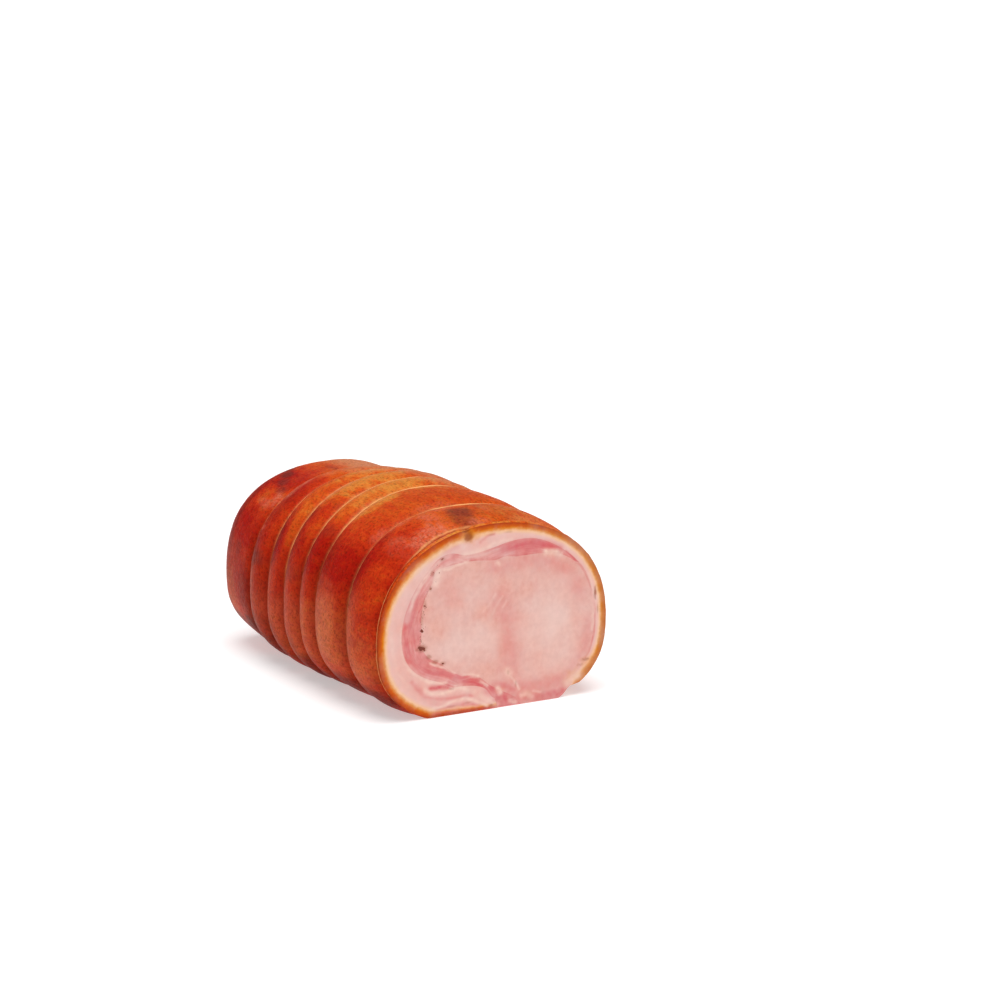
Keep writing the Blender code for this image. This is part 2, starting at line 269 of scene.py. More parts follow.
class Slice:
    """The roast's outline at one distance y behind the cut."""

    def __init__(self, y):
        self.y = y
        left = HALF_LEFT * swell(SWELL_LEFT, y)
        right = HALF_RIGHT * swell(SWELL_RIGHT, y)
        top = HEIGHT * swell(SWELL_TOP, y)
        belt = BELT_HEIGHT * top / HEIGHT
        behind = min(2.0 * y / SWELL_REACH, 1.0)
        upper_left = POWER_UPPER_LEFT + SETTLE_UPPER_LEFT * behind
        upper_right = POWER_UPPER_RIGHT - SLACK_UPPER_RIGHT * behind
        lower_left = POWER_LOWER_LEFT + SETTLE_LOWER_LEFT * behind
        a = np.linspace(0.0, 2.0 * math.pi, TABLE_STEPS, endpoint=False)
        ca, sa = np.cos(a), np.sin(a)
        upper = np.where(ca < 0, upper_left, upper_right)
        lower = np.where(ca < 0, lower_left, POWER_LOWER_RIGHT)
        power = np.where(sa < 0, lower, upper)
        r = (np.abs(ca) ** power + np.abs(sa) ** power) ** (-1.0 / power)
        x = np.where(ca < 0, left, right) * ca * r - CENTRE_X
        z = belt + np.where(sa < 0, belt + FLATTENED, top - belt) * sa * r - CENTRE_Z
        direction = np.degrees(np.arctan2(z, x)) % 360.0
        order = np.argsort(direction)
        self.directions = direction[order]
        self.distances = np.hypot(x, z)[order]

    def round_reach(self, angles):
        return np.interp(np.asarray(angles) % 360.0, self.directions, self.distances, period=360.0)

    def smooth(self, angles):
        """Reach of the outline without string marks, cut off at the floor."""
        return np.minimum(self.round_reach(angles), floor_reach(angles))

    def place(self, angles, reach):
        """Points in millimetres from the middle of the roast's floor."""
        a = np.radians(angles)
        x = CENTRE_X + reach * np.cos(a)
        z = np.maximum(CENTRE_Z + reach * np.sin(a), 0.0)
        share = end_share(self.y)
        pivot = BELT_HEIGHT * swell(SWELL_TOP, self.y) * END_CENTRE
        lift = END_LIFT * float(ease(self.y, END_LIFT_FROM, END_LIFT_TO))
        z = pivot + (z - pivot) * share + lift
        return np.stack([x * share - SHIFT_X, np.full_like(x, self.y - HALF_LENGTH), z], -1)

    def skin(self, angles, detail):
        """Points of the skin, with string marks, gathers at the end and fine detail."""
        reach = self.round_reach(angles) + crease(angles, self.y) + detail
        fold = max(0.0, (self.y - (LENGTH - END_ROUND)) / END_ROUND) ** 3
        a = np.radians(angles)
        reach = reach - PUCKER_DEPTH * fold * np.abs(np.sin(a * PUCKERS / 2.0))
        points = self.place(angles, np.minimum(reach, floor_reach(angles)))
        points[:, 1] += string_lean(angles, self.y)
        return points

    def under(self, angles, depth):
        """Points at a depth under the smooth outline."""
        return self.place(angles, self.smooth(angles) - depth)


def wrap_angles():
    """Angles of the wrap's inner face, shared with its neighbours, and of its skin, which ends elsewhere."""
    inner = np.linspace(FLAP_INNER, SEAM_INNER, ROUND_STEPS + 1)
    reach = 4.0 / 48.0 * ROUND_STEPS
    i = np.arange(ROUND_STEPS + 1)
    flap = np.clip(1.0 - i / reach, 0.0, 1.0)
    seam = np.clip(1.0 - (ROUND_STEPS - i) / reach, 0.0, 1.0)
    outer = inner + (FLAP_OUTER - FLAP_INNER) * flap + (SEAM_OUTER - SEAM_INNER) * seam
    return inner, outer


def skin_stations():
    """Distances behind the cut at which the skin has a ring, close together at the string marks."""
    stations = {0.0, LAYER_END}
    for tie in TIES:
        stations |= {tie + 0.3 * k for k in range(-14, 4)}
        stations |= {tie + d for d in (1.3, 1.8, 2.6, 3.8)}
    closing = LENGTH - LAYER_END
    stations |= {LAYER_END + closing * math.sin(math.pi / 2 * k / 14) for k in range(1, 14)}
    kept = []
    for y in sorted(s for s in stations if 0.0 <= s < LENGTH):
        if kept and y - kept[-1] < 0.12:
            continue
        if kept and y - kept[-1] > STEP_ALONG and y <= LAYER_END:
            parts = math.ceil((y - kept[-1]) / STEP_ALONG)
            start = kept[-1]
            kept += [start + (y - start) * k / parts for k in range(1, parts)]
        kept.append(y)
    return kept


def face_relief(x, z):
    """How far the cut surface dips behind its plane, in millimetres."""
    soft = 0.16 * rough(x / 13.0, z / 13.0, 11) + 0.07 * rough(x / 3.1, z / 3.1, 12)
    return np.maximum(0.0, 0.2 + soft)


# Meshes


def make_mesh(name, points, faces, values, vectors=None, slots=None):
    """Mesh object from points in millimetres, with named numbers and vectors at each point."""
    mesh = bpy.data.meshes.new(name)
    mesh.from_pydata((np.asarray(points) * MM).tolist(), [], faces)
    if slots:
        mesh.polygons.foreach_set("material_index", np.array(slots, np.int32))
    work = bmesh.new()
    work.from_mesh(mesh)
    bmesh.ops.recalc_face_normals(work, faces=work.faces)
    work.to_mesh(mesh)
    work.free()
    for key, data in values.items():
        layer = mesh.attributes.new(key, "FLOAT", "POINT").data
        layer.foreach_set("value", np.asarray(data, np.float32))
    for key, data in (vectors or {}).items():
        layer = mesh.attributes.new(key, "FLOAT_VECTOR", "POINT").data
        layer.foreach_set("vector", np.asarray(data, np.float32).ravel())
    mesh.polygons.foreach_set("use_smooth", [True] * len(mesh.polygons))
    mesh.set_sharp_from_angle(angle=SHARP_FROM)
    mesh.update()
    obj = bpy.data.objects.new(name, mesh)
    bpy.context.scene.collection.objects.link(obj)
    return obj


def grid_faces(rows, columns, closed=False):
    """Quads of a grid of points laid out row by row."""
    faces = []
    last = columns if closed else columns - 1
    for j in range(rows - 1):
        for i in range(last):
            a = j * columns + i
            b = j * columns + (i + 1) % columns
            faces.append((a, b, b + columns, a + columns))
    return faces


def tube_faces(loops):
    """Quads between closed loops of one length, each behind the one before."""
    count = len(loops[0])
    return [
        (near[i], near[(i + 1) % count], far[(i + 1) % count], far[i])
        for near, far in zip(loops[:-1], loops[1:])
        for i in range(count)
    ]


def cut_rows(outer, inner, steps, rows):
    """Rows of points on the cut surface, from one edge towards another."""
    made = []
    for k in range(rows):
        u = k / steps
        row = outer * (1 - u) + inner * u
        row[:, 1] = -HALF_LENGTH + face_relief(row[:, 0], row[:, 2])
        made.append(row)
    return np.concatenate(made)


# Patterns on the skin. Each spot: y behind the cut, angle round the roll, reach in y,
# reach in angle, strength

# Redness by angle, from gold at 0 to deep red at 1
RED_ROUND = {
    -40: 0.5, 0: 0.5, 30: 0.44, 60: 0.38, 80: 0.38, 100: 0.36, 120: 0.42, 135: 0.54, 142: 0.68, 150: 0.82,
    160: 0.86, 168: 0.76, 180: 0.62, 200: 0.62, 215: 0.78, 240: 0.8, 268: 0.8,
}
RED_SPOTS = (
    (24, 132, 26, 20, 0.13), (16, 158, 16, 14, -0.2), (38, 150, 8, 14, 0.12), (22, 72, 14, 10, -0.06),
    (56, 106, 18, 34, 0.09), (77, 124, 8, 14, -0.34), (60, 157, 22, 12, 0.18), (79, 96, 6, 12, -0.14),
    (97, 108, 14, 28, -0.24), (97, 157, 14, 14, 0.11), (124, 108, 14, 28, -0.28), (124, 140, 12, 6, 0.1),
    (115, 147, 8, 7, -0.18), (141, 148, 7, 12, -0.36), (153, 158, 9, 10, 0.16), (148, 106, 12, 18, -0.18),
    (169, 130, 12, 13, 0.34), (182, 132, 10, 12, 0.18), (166, 153, 7, 9, -0.12), (212, 112, 24, 5, 0.2),
    (206, 125, 22, 11, 0.42), (228, 130, 17, 15, 0.35), (202, 148, 12, 9, -0.14), (217, 140, 10, 7, -0.2),
    (60, 20, 26, 18, 0.2), (140, 10, 30, 20, 0.2), (215, 30, 26, 20, 0.25), (100, -20, 40, 14, -0.15),
    (20, 190, 16, 9, -0.06), (66, 190, 18, 12, -0.14), (96, 186, 12, 14, -0.08), (0, 168, 5.5, 80, -0.3),
    (210, 160, 22, 12, 0.1), (150, 185, 40, 16, 0.1), (205, 184, 18, 14, 0.2), (209, 103, 18, 6, 0.12),
)
# The spot at 3.2, 110.5 darkens the rind in the pit.
STAIN_SPOTS = (
    (23, 102.5, 12, 8, 1), (12, 106, 9, 7, 0.8), (3.2, 110.5, 2.6, 2.6, 1), (204, 134.5, 9, 3, 0.6),
    (214, 130, 8, 3.5, 0.85), (224, 125.5, 8, 4, 1), (233, 121, 6, 5, 0.8), (130, 143, 6, 5, 0.25),
    (178, 167, 13, 3.5, 0.6), (120, 167, 12, 4, 0.35), (95, 145, 11, 3, 0.3), (20, 183, 9, 3, 0.2),
    (214, 168, 5, 4.5, 0.4), (112, 133, 3, 3, 0.3), (203, 104, 14, 2.6, 0.5), (196, 52, 12, 7, 0.4),
    (90, 24, 9, 6, 0.3), (36, 12, 8, 7, 0.3), (168, 2, 10, 8, 0.35), (37, 137, 5, 5, 0.3),
)
# Pinkish crackled patches: partly the rind's own colour, partly a painted sheen on the bays' lip edges
BLUSH_AND_SHEEN_SPOTS = (
    (11, 127, 10, 13, 1), (8, 100, 4, 7, 0.75), (30, 117, 13, 5, 0.55), (37, 107, 6, 8, 0.7),
    (40, 128, 4, 8, 0.6), (29, 88, 12, 3, 0.45), (183, 130, 6, 9, 1), (198, 140, 8, 5, 1),
    (207, 144, 12, 3, 0.6), (46, 105, 4, 13, 0.4), (46, 138, 4, 5, 0.5), (186, 154, 5, 1.4, 0.9),
    (120, 34, 14, 9, 0.5), (30, 40, 12, 8, 0.4), (210, 60, 12, 10, 0.5), (175, 115, 6, 4, 0.5),
    (20, 138, 10, 7, 0.4),
)
# Light brown patches: partly the rind's own tan, partly painted sheen where the rind catches light, at the
# far end of the bays low on the flank and along the top
TAN_AND_SHEEN_SPOTS = (
    (216, 78, 34, 24, 1), (176, 82, 14, 24, 0.85), (149, 80, 13, 24, 0.9), (98, 76, 14, 18, 0.6),
    (123, 76, 14, 20, 0.85), (82, 127, 6, 14, 0.4), (106, 121, 5, 12, 0.35), (131, 122, 5, 13, 0.6),
    (27, 196, 18, 8, 0.3), (68, 184, 18, 18, 0.45), (99, 184, 10, 14, 0.3), (148, 100, 10, 9, 0.35),
    (172, 102, 12, 8, 0.5), (8, 66, 6, 16, 0.3), (60, 20, 20, 12, 0.25), (150, 10, 24, 12, 0.3),
    (0, 0, 6, 62, 0.7), (226, 192, 12, 12, 0.25), (96, 189, 110, 15, 0.26),
)
# Painted shade on the rind: darkening low on the flank, near the floor and at the far end, where the light
# falls off; a few weak spots on the top darken the roast's tone
PAINTED_SHADE_SPOTS = (
    (233, 160, 6, 40, 0.5), (200, 187, 14, 16, 0.4), (198, 203, 16, 9, 0.85), (218, 204, 30, 5, 0.6),
    (184, 166, 9, 10, 0.4), (180, 142, 12, 12, 0.2), (156, 156, 6, 16, 0.4), (130, 158, 6, 18, 0.35),
    (104, 158, 6, 18, 0.25), (80, 156, 8, 16, 0.3), (39, 160, 6, 16, 0.3), (130, 140, 8, 5, 0.3),
    (22, 209, 34, 8, 0.75), (62, 208, 34, 8, 0.75), (116, 211, 34, 10, 0.75), (170, 208, 34, 12, 0.75),
    (126, 199, 9, 8, 0.4), (152, 199, 9, 9, 0.45), (182, 198, 10, 11, 0.6), (98, 202, 9, 6, 0.3),
    (49, 180, 5, 14, 0.15), (10, 202, 9, 10, 0.3), (33, 90, 8, 4, 0.3), (56, 100, 24, 30, 0.08),
    (22, 84, 24, 18, 0.15), (224, 178, 22, 16, 0.25), (176, 178, 18, 12, 0.2), (170, 196, 9, 9, 0.42),
)
LIP_HEIGHT = 0.32
WRINKLE_HEIGHT = 0.2
PIT_AT = (3.4, 110.5)
PIT_REACH = 2.6
PIT_DEPTH = 2.2
# Millimetres from a string mark to the lip ahead of it, by angle
LIP_AHEAD = {
    0: 1.5, 60: 2.6, 90: 3.3, 110: 2.1, 135: 1.35, 160: 1.15, 180: 1.4, 200: 1.9, 230: 1.5, 300: 1.5,
}
# Distance of the rim's line behind the cut, by angle
RIM_LINE = {
    0: 2.6, 60: 2.4, 85: 2.4, 100: 4.4, 112: 6.4, 126: 6.6, 140: 5.2, 150: 4.2, 165: 2.8, 180: 2.2, 200: 2,
    230: 2.6, 300: 2.6,
}
# Brightness of the pale line at each string mark, by angle: partly the unbrowned mark the string left, partly
# a painted highlight, strongest where the lip ahead faces the light
STRONG_LINE = {-40: 0.3, 40: 0.4, 80: 0.8, 95: 1, 138: 1}
LINE_LIGHT = {
    4.8: {
        -40: 0.2, 40: 0.3, 80: 0.45, 95: 0.6, 106: 0.33, 120: 0.34, 150: 0.48, 175: 0.45, 195: 0.25, 268: 0.1,
    },
    43.1: {-40: 0.2, 40: 0.4, 70: 0.6, 88: 0.9, 108: 0.9, 118: 0.25, 142: 0.2, 170: 0.3, 200: 0.2, 268: 0.1},
    85.2: {**STRONG_LINE, 147: 0.3, 165: 0.1, 185: 0.15, 200: 0.1, 268: 0.05},
    108.6: {**STRONG_LINE, 149: 0.5, 162: 0.2, 185: 0.1, 268: 0.05},
    135.3: {**STRONG_LINE, 40: 0.5, 150: 0.8, 166: 1, 174: 0.35, 190: 0.1, 268: 0.05},
    161.6: {-40: 0.3, 40: 0.4, 90: 0.25, 112: 0.5, 120: 1, 148: 1, 160: 0.5, 172: 0.15, 190: 0.1, 268: 0.05},
    191: {-40: 0.3, 40: 0.4, 80: 0.5, 105: 1, 138: 0.8, 150: 0.4, 165: 0.15, 190: 0.1, 268: 0.05},
}


def spotted(y, angle, spots, ragged, blend):
    """Sum or strongest of soft-edged patches, with their edges made ragged."""
    total = np.zeros(np.shape(y))
    for y0, a0, reach_y, reach_a, strength in spots:
        d = np.hypot((y - y0) / reach_y, (angle - a0) / reach_a) + ragged
        patch = strength * ease(-d, -1.25, -0.45)
        total = np.maximum(total, patch) if blend == "most" else total + patch
    return total


def string_marks(y, angle, arc, fine):
    """Pale lines ahead of the string marks, partly painted highlight; painted shade in the grooves behind
    them; and painted sheen on the lips low on the flank.
    """
    line, groove, painted_lip_sheen = np.zeros_like(y), np.zeros_like(y), np.zeros_like(y)
    ahead = round_keys(LIP_AHEAD, angle)
    flank = ease(angle, 135.0, 172.0) * ease(-angle, -212.0, -198.0)
    rim_under = ease(angle, 98.0, 118.0) * ease(-angle, -215.0, -190.0)
    for tie, following in zip(TIES, TIES[1:] + (LENGTH,)):
        at_rim = tie == TIES[0]
        shares = LINE_LIGHT[tie]
        bright = np.interp(angle, list(shares), list(shares.values()))
        wander = 0.15 * ahead * noise(arc / 9.0, y * 0.0 + tie, 31)
        place = round_keys(RIM_LINE, angle) - 0.5 * wander if at_rim else tie - ahead - wander
        lip = bell(y - place, 0.6 if at_rim else 0.4 + 0.46 * ahead)
        pressed = (0.0 if at_rim else 0.55) * bell(y - tie, 0.9)
        broken = np.clip(0.9 + 0.35 * noise(arc / 5.0, y * 0.0 + tie, 32), 0.0, 1.15)
        # pale line, partly a painted highlight on the lip ahead of the mark
        line = np.maximum(line, bright * broken * np.maximum(lip, pressed))
        # painted shade in the crease behind each string mark, low on the flank
        behind = np.where(y > tie - 0.6, np.exp(-np.maximum(y - tie, 0.0) / 5.0), 0.0)
        groove = np.maximum(groove, (0.25 if at_rim else 1.0) * flank * behind)
        if at_rim:
            # painted shade under the rim's line
            groove = np.maximum(groove, 0.85 * bell(y - place + 1.7, 1.2) * rim_under)
        # painted sheen at the far end of each bay low on the flank, where the rind faces the light
        far = ease((y - tie) / (following - tie), 0.35, 0.9) * (y < following) * (y > tie)
        low_edge = 206.0 if tie < 80.0 else 200.0
        low = ease(angle, 158.0, 178.0) * ease(-angle, -low_edge, 8.0 - low_edge)
        painted_lip_sheen = np.maximum(painted_lip_sheen, far * low)
    painted_lip_sheen = painted_lip_sheen * (y < TIES[-1]) * np.clip(0.8 + 0.5 * fine, 0.3, 1.1)
    return line, groove * (1.0 - line), painted_lip_sheen


def skin_numbers(y, angle, arc):
    """Numbers that colour the skin: redness, stains, crackle and tan partly painted as sheen, string lines
    partly painted as highlights, painted shade in the grooves and painted shade low on the flank and at the
    far end.
    """
    wide = rough(arc / 24.0, y / 24.0, 21)
    fine = rough(arc / 5.0, y / 7.0, 24)
    ragged = 0.34 * fine + 0.15 * wide
    red = round_keys({a % 360: v for a, v in RED_ROUND.items()}, angle)
    red = red + spotted(y, angle, RED_SPOTS, ragged * 0.7, "sum") + 0.1 * wide + 0.12 * fine
    line, groove, painted_lip_sheen = string_marks(y, angle, arc, fine)
    tan = spotted(y, angle, TAN_AND_SHEEN_SPOTS, ragged * 0.5, "most")
    numbers = {
        "redness": red,
        "stain": spotted(y, angle, STAIN_SPOTS, ragged * 0.6, "most"),
        "blush": spotted(y, angle, BLUSH_AND_SHEEN_SPOTS, ragged, "most"),
        # painted shade low on the flank, near the floor and at the far end
        "shade": spotted(y, angle, PAINTED_SHADE_SPOTS, ragged * 0.8, "most"),
        # tan, with the painted sheen of the lips added
        "tan": np.maximum(tan, 0.46 * painted_lip_sheen),
        "string_line": line,
        "groove": groove,
    }
    return {key: np.clip(value, 0.0, 1.0) for key, value in numbers.items()}


def skin_detail(y, angle, arc):
    """Small changes of the radius: the lip beside each string mark, wrinkles and dimples."""
    change = 0.16 * rough(arc / 8.0, y / 11.0, 41) + 0.08 * rough(arc / 2.6, y / 3.4, 43)
    ahead = round_keys(LIP_AHEAD, angle)
    for tie in TIES:
        pinch = np.exp(-np.abs(y - tie) / 5.0)
        wrinkle = noise(arc / 2.4 + 0.35 * (y - tie), y * 0.0 + tie, 44)
        change = change + LIP_HEIGHT * bell(y - tie + ahead, 0.5) + WRINKLE_HEIGHT * pinch * wrinkle
    pit_y, pit_angle = PIT_AT
    change = change - PIT_DEPTH * bell(np.hypot(y - pit_y, angle - pit_angle), PIT_REACH)
    return change * ease(y, -2.0, 1.0)


# Patterns on the cut, in millimetres. Each line: width, strength, then x and z of every point.
# Each spot: x, z, reach in x, reach in z, strength

WHITE_LINES = (
    (1, 0.4, -66.8, 62, -67, 54, -66.4, 45.7, -64.3, 38, -59.3, 31.6),
    (1, 0.65, -62, 34.5, -59.3, 31.6, -54.3, 28.2, -47, 23.8, -40, 22.4, -35, 22),
    (1, 0.4, -44.3, 96.6, -50, 92.3, -54.3, 86.6, -57.9, 79.4, -60.5, 73),
    (1.3, 0.7, -50, 19.3, -45.7, 16.2, -36.4, 14.8, -30.7, 15.7, -25.7, 17.4, -22, 16.4, -18.6, 14.3),
    (1.8, 0.6, -28, 18, -24, 17),
    (1.1, 0.7, -46, 6, -40, 6.4, -29.3, 8.6, -22, 9.3, -15, 7.9, -4.3, 2.9),
    (1.8, 0.55, -14, 12.5, -8, 9, -2, 5, 2, 2),
    (0.8, 0.6, -46.4, 36.4, -40, 33.4, -32.9, 29.9, -28.6, 27.9),
    (1, 0.6, -21.4, 25.7, -17, 25.2, -11.4, 23.6),
    (0.9, 0.6, -9.3, 19.6, -4.3, 16.4),
    (1.5, 0.8, 2.9, 12.9, 5.7, 10),
    (0.8, 0.6, -36, 96, -31.4, 96.6, -25, 98.6, -18.6, 100.1),
    (1.3, 0.45, -22.1, 104.6, -14.3, 105.2, -5.7, 107.4, 0, 108.9, 6, 110.4, 14, 111),
    (2.5, 0.6, -39.3, 96.5, -40.5, 92, -42.5, 88),
    (1.9, 0.8, 39, 99.6, 45, 99.2, 51, 97.6),
    (1.2, 0.6, 3, 96.4, 4.4, 95.4),
    (2.4, 0.7, 10.5, 23.8, 12.5, 21.2),
    (0.9, 0.6, 12.5, 21.2, 15.5, 17, 19.5, 10.2),
    (2, 0.6, 21, 5.4, 25, 6.2, 29, 3.6),
    (1.5, 0.5, 13, 3, 17, 2.2),
    (0.8, 0.4, 30, 7.5, 36, 6),
    (2.4, 0.55, 56, 9.5, 61, 12.5, 65, 14),
    (0.7, 0.3, 2, 76, -2, 71, -7, 66),
    (0.7, 0.28, 7.5, 74, 3, 69, -1, 63),
    (0.7, 0.25, 10, 70.5, 7, 66.5),
    (0.9, 0.45, 72.5, 82, 76, 70, 76.6, 57, 75.6, 43),
    (1.2, 0.22, -74, 60, -73.4, 46, -69.8, 33, -62, 22.5),
)
ROSY_LINES = (
    (1.8, 0.9, -46, 19.4, -40, 19.8, -34, 18.9),
    (1.4, 0.45, -60, 26, -56.4, 21.4, -50, 14.4, -40, 11.4, -25.7, 10.9, -15, 11.1, -11.4, 11.4),
    (1.6, 0.5, -41.4, 4.9, -30, 5.3, -18.6, 5.2, -10, 3.4),
    (1, 0.4, -9.3, 111.6, -4.3, 115.1, 1, 116),
    (2.6, 0.35, -34, 108, -26, 109.5),
    (0.7, 0.6, 55, 98.4, 64, 90, 69.5, 83.6, 74.6, 71, 77.6, 57, 77.2, 43, 75, 32.6, 69, 23),
    (2.2, 0.55, -50, 31, -45, 29, -38, 28, -30, 26, -20, 22.4, -13, 20),
    (0.9, 0.9, -22, 21.5, -14, 19.5, -8, 16.5),
    (2.3, 0.8, 7.1, 8.4, 9, 5, 11.4, 1.4),
    (3.2, 0.55, -4, 12, 4, 15, 9, 14, 15, 9),
    (1.6, 0.5, -2, 4, 4, 7, 7, 3),
    (2.8, 0.6, -58, 77, -60.5, 70, -62, 62),
    (3.2, 0.45, -64, 50, -61, 42, -56, 36, -48, 31),
    (2.6, 0.95, 8, 104.6, 20, 106.6, 32, 106.2, 42, 103.4, 50, 100.2),
    (3.8, 0.85, 20, 4.6, 38, 2.6, 54, 3.6),
    (2.2, 0.3, -56, 22, -50, 14, -40, 7, -26, 3.6),
    (1.4, 0.55, -44, 2.6, -24, 1.6, -6, 1, 8, 1),
    (4.5, 0.4, 6, 14, 14, 8, 24, 6),
    (8, 0.3, 15, 10, 13, 30, 13, 50, 10, 64, 4, 72),
    (7, 0.3, 30, 96, 44, 92, 56, 84, 66, 70),
    (6, 0.28, 0, 94, 14, 95, 28, 96),
    (4.5, 0.3, 72, 50, 71, 36, 66, 26, 58, 16),
    (9, 0.16, -36, 84, -30, 74),
    (6, 0.4, 18, 12, 38, 10, 54, 12),
)
PALE_PATCHES = (
    (-20, 46, 26, 13, 0.9), (44, 56, 26, 24, 1), (50, 30, 18, 14, 0.6), (-30, 64, 14, 12, 0.35),
    (30, 20, 14, 9, 0.25), (-14, 78, 16, 8, 0.25), (-49, 91, 8, 13, 0.5), (-12, 103.5, 20, 4.5, 0.6),
)
PALE_LINES = (
    (1.8, 0.55, -63, 66, -58, 80, -50, 93, -42, 100, -32, 106, -22, 109.5),
    (2.2, 0.5, -45, 92, -38, 98, -28, 101, -18, 102),
    (1.6, 0.35, -60, 36, -52, 28.5, -44, 25, -34, 23.6),
)
BROWN_SPOTS = (
    (-17.8, 116, 3.2, 3.2, 0.85), (-20, 120.8, 3, 2, 1), (-1.4, 115.5, 2.2, 0.8, 0.22),
    (11.4, 115.9, 2.6, 0.8, 0.22), (-30, 1.2, 26, 0.8, 0.4), (-36.8, 103.4, 2, 1.2, 0.4),
    (-44.3, 95.1, 1.4, 2, 0.4), (-45.7, 85.1, 1.4, 1.6, 0.3), (-50, 75.9, 1.4, 3, 0.25),
    (-52, 66, 1.3, 6, 0.25), (-52.1, 46.8, 3.6, 2.4, 0.7), (-47.1, 40.7, 1.8, 1.6, 0.5),
    (-42.9, 36.8, 2.2, 1.5, 0.5), (-37.1, 35, 2.2, 1.3, 0.4), (-30.7, 17.5, 2, 0.9, 0.3),
    (77.6, 68, 0.9, 4, 0.75), (79.6, 57, 0.7, 3, 0.3), (70.5, 23.6, 3, 0.9, 0.5), (66, 20.5, 2, 0.8, 0.3),
    (-31, 5.7, 3.5, 0.7, 0.25), (-19, 6.6, 2.6, 0.6, 0.25), (-1.4, 2.5, 1.2, 0.8, 0.5),
    (11.2, 22.6, 1, 1.4, 0.25), (17, 14.4, 0.7, 2, 0.25),
)
GOLDEN_SPOTS = (
    (-17.5, 116.6, 6.5, 5.6, 0.8), (63, 12.5, 9, 5.5, 0.55), (71, 22, 6, 4, 0.5), (45, 98.8, 7, 2.4, 0.15),
    (25, 5.4, 5, 2.6, 0.15), (5, 11.4, 3, 2.4, 0.15),
)
# Width of the seared edge by angle
SEAR_ROUND = {
    325: 1.05, 340: 0.8, 0: 0.72, 45: 0.72, 90: 0.85, 135: 1.05, 150: 1, 170: 0.84, 200: 0.86, 222: 0.92,
    236: 0.8, 246: 0.6, 262: 0.5,
}


def lined(x, z, lines):
    """Strongest of soft, slightly wandering lines."""
    total = np.zeros(np.shape(x))
    bend_x = x + 0.5 * noise(x / 4.0, z / 4.0, 51)
    bend_z = z + 0.5 * noise(x / 4.0, z / 4.0, 52)
    for width, strength, *path in lines:
        d = from_path(bend_x, bend_z, list(zip(path[::2], path[1::2]))) / width
        patchy = 1.0 + 0.25 * noise(x / 2.2, z / 2.2, 53)
        total = np.maximum(total, strength * patchy * np.exp(-(d**2.0) * 0.8))
    return np.clip(total, 0.0, 1.0)


def patched(x, z, spots, ragged, hard):
    """Strongest of soft-edged patches; the nearer hard is to -1.5, the harder their edges."""
    total = np.zeros(np.shape(x))
    for x0, z0, reach_x, reach_z, strength in spots:
        d = np.hypot((x - x0) / reach_x, (z - z0) / reach_z) + ragged
        total = np.maximum(total, strength * ease(-d, -1.5, hard))
    return np.clip(total, 0.0, 1.0)


def cut_numbers(points):
    """Numbers that colour the cut: white fat, rosy lean, pale flesh, brown and golden stains."""
    x, y, z = np.asarray(points, float).T
    front = ease(-(y + HALF_LENGTH), -14.0, -3.0)
    ragged = 0.22 * noise(x / 2.0, z / 2.0, 61) + 0.12 * noise(x / 0.9, z / 0.9, 62)
    pale = patched(x, z, PALE_PATCHES, 0.3 * noise(x / 9.0, z / 9.0, 63), 0.2)
    return {
        "white_fat": front * lined(x, z, WHITE_LINES),
        "rosy": front * lined(x, z, ROSY_LINES),
        "pale": front * np.maximum(pale, lined(x, z, PALE_LINES)),
        "brown": front * patched(x, z, BROWN_SPOTS, ragged, -0.4),
        "golden": front * patched(x, z, GOLDEN_SPOTS, ragged, -0.2),
    }


# Materials

SKIN_SPECULAR = 0.03
CUT_SPECULAR = 0.13
MOTTLE_SCALE = 260.0
CRACKLE_SCALE = 300.0
PORE_SCALE = 520.0
# Darkest that the painted shade makes the rind, as a share of its colour
DEEPEST_PAINTED_SHADE = 0.24
LINE_GAIN = 1.35
# Where each colour of the fat lies, from the skin at 0 to the lean at 1
SEAR_BANDS = {"burnt": 0.0, "seared": 0.21, "golden": 0.34, "cream": 0.47, "fat": 0.66, "fat_deep": 1.0}
# How far each colour of the rind covers what lies under it
COVER = {"tan": 0.7, "stain": 0.72, "blush": 0.75, "groove": 0.74}


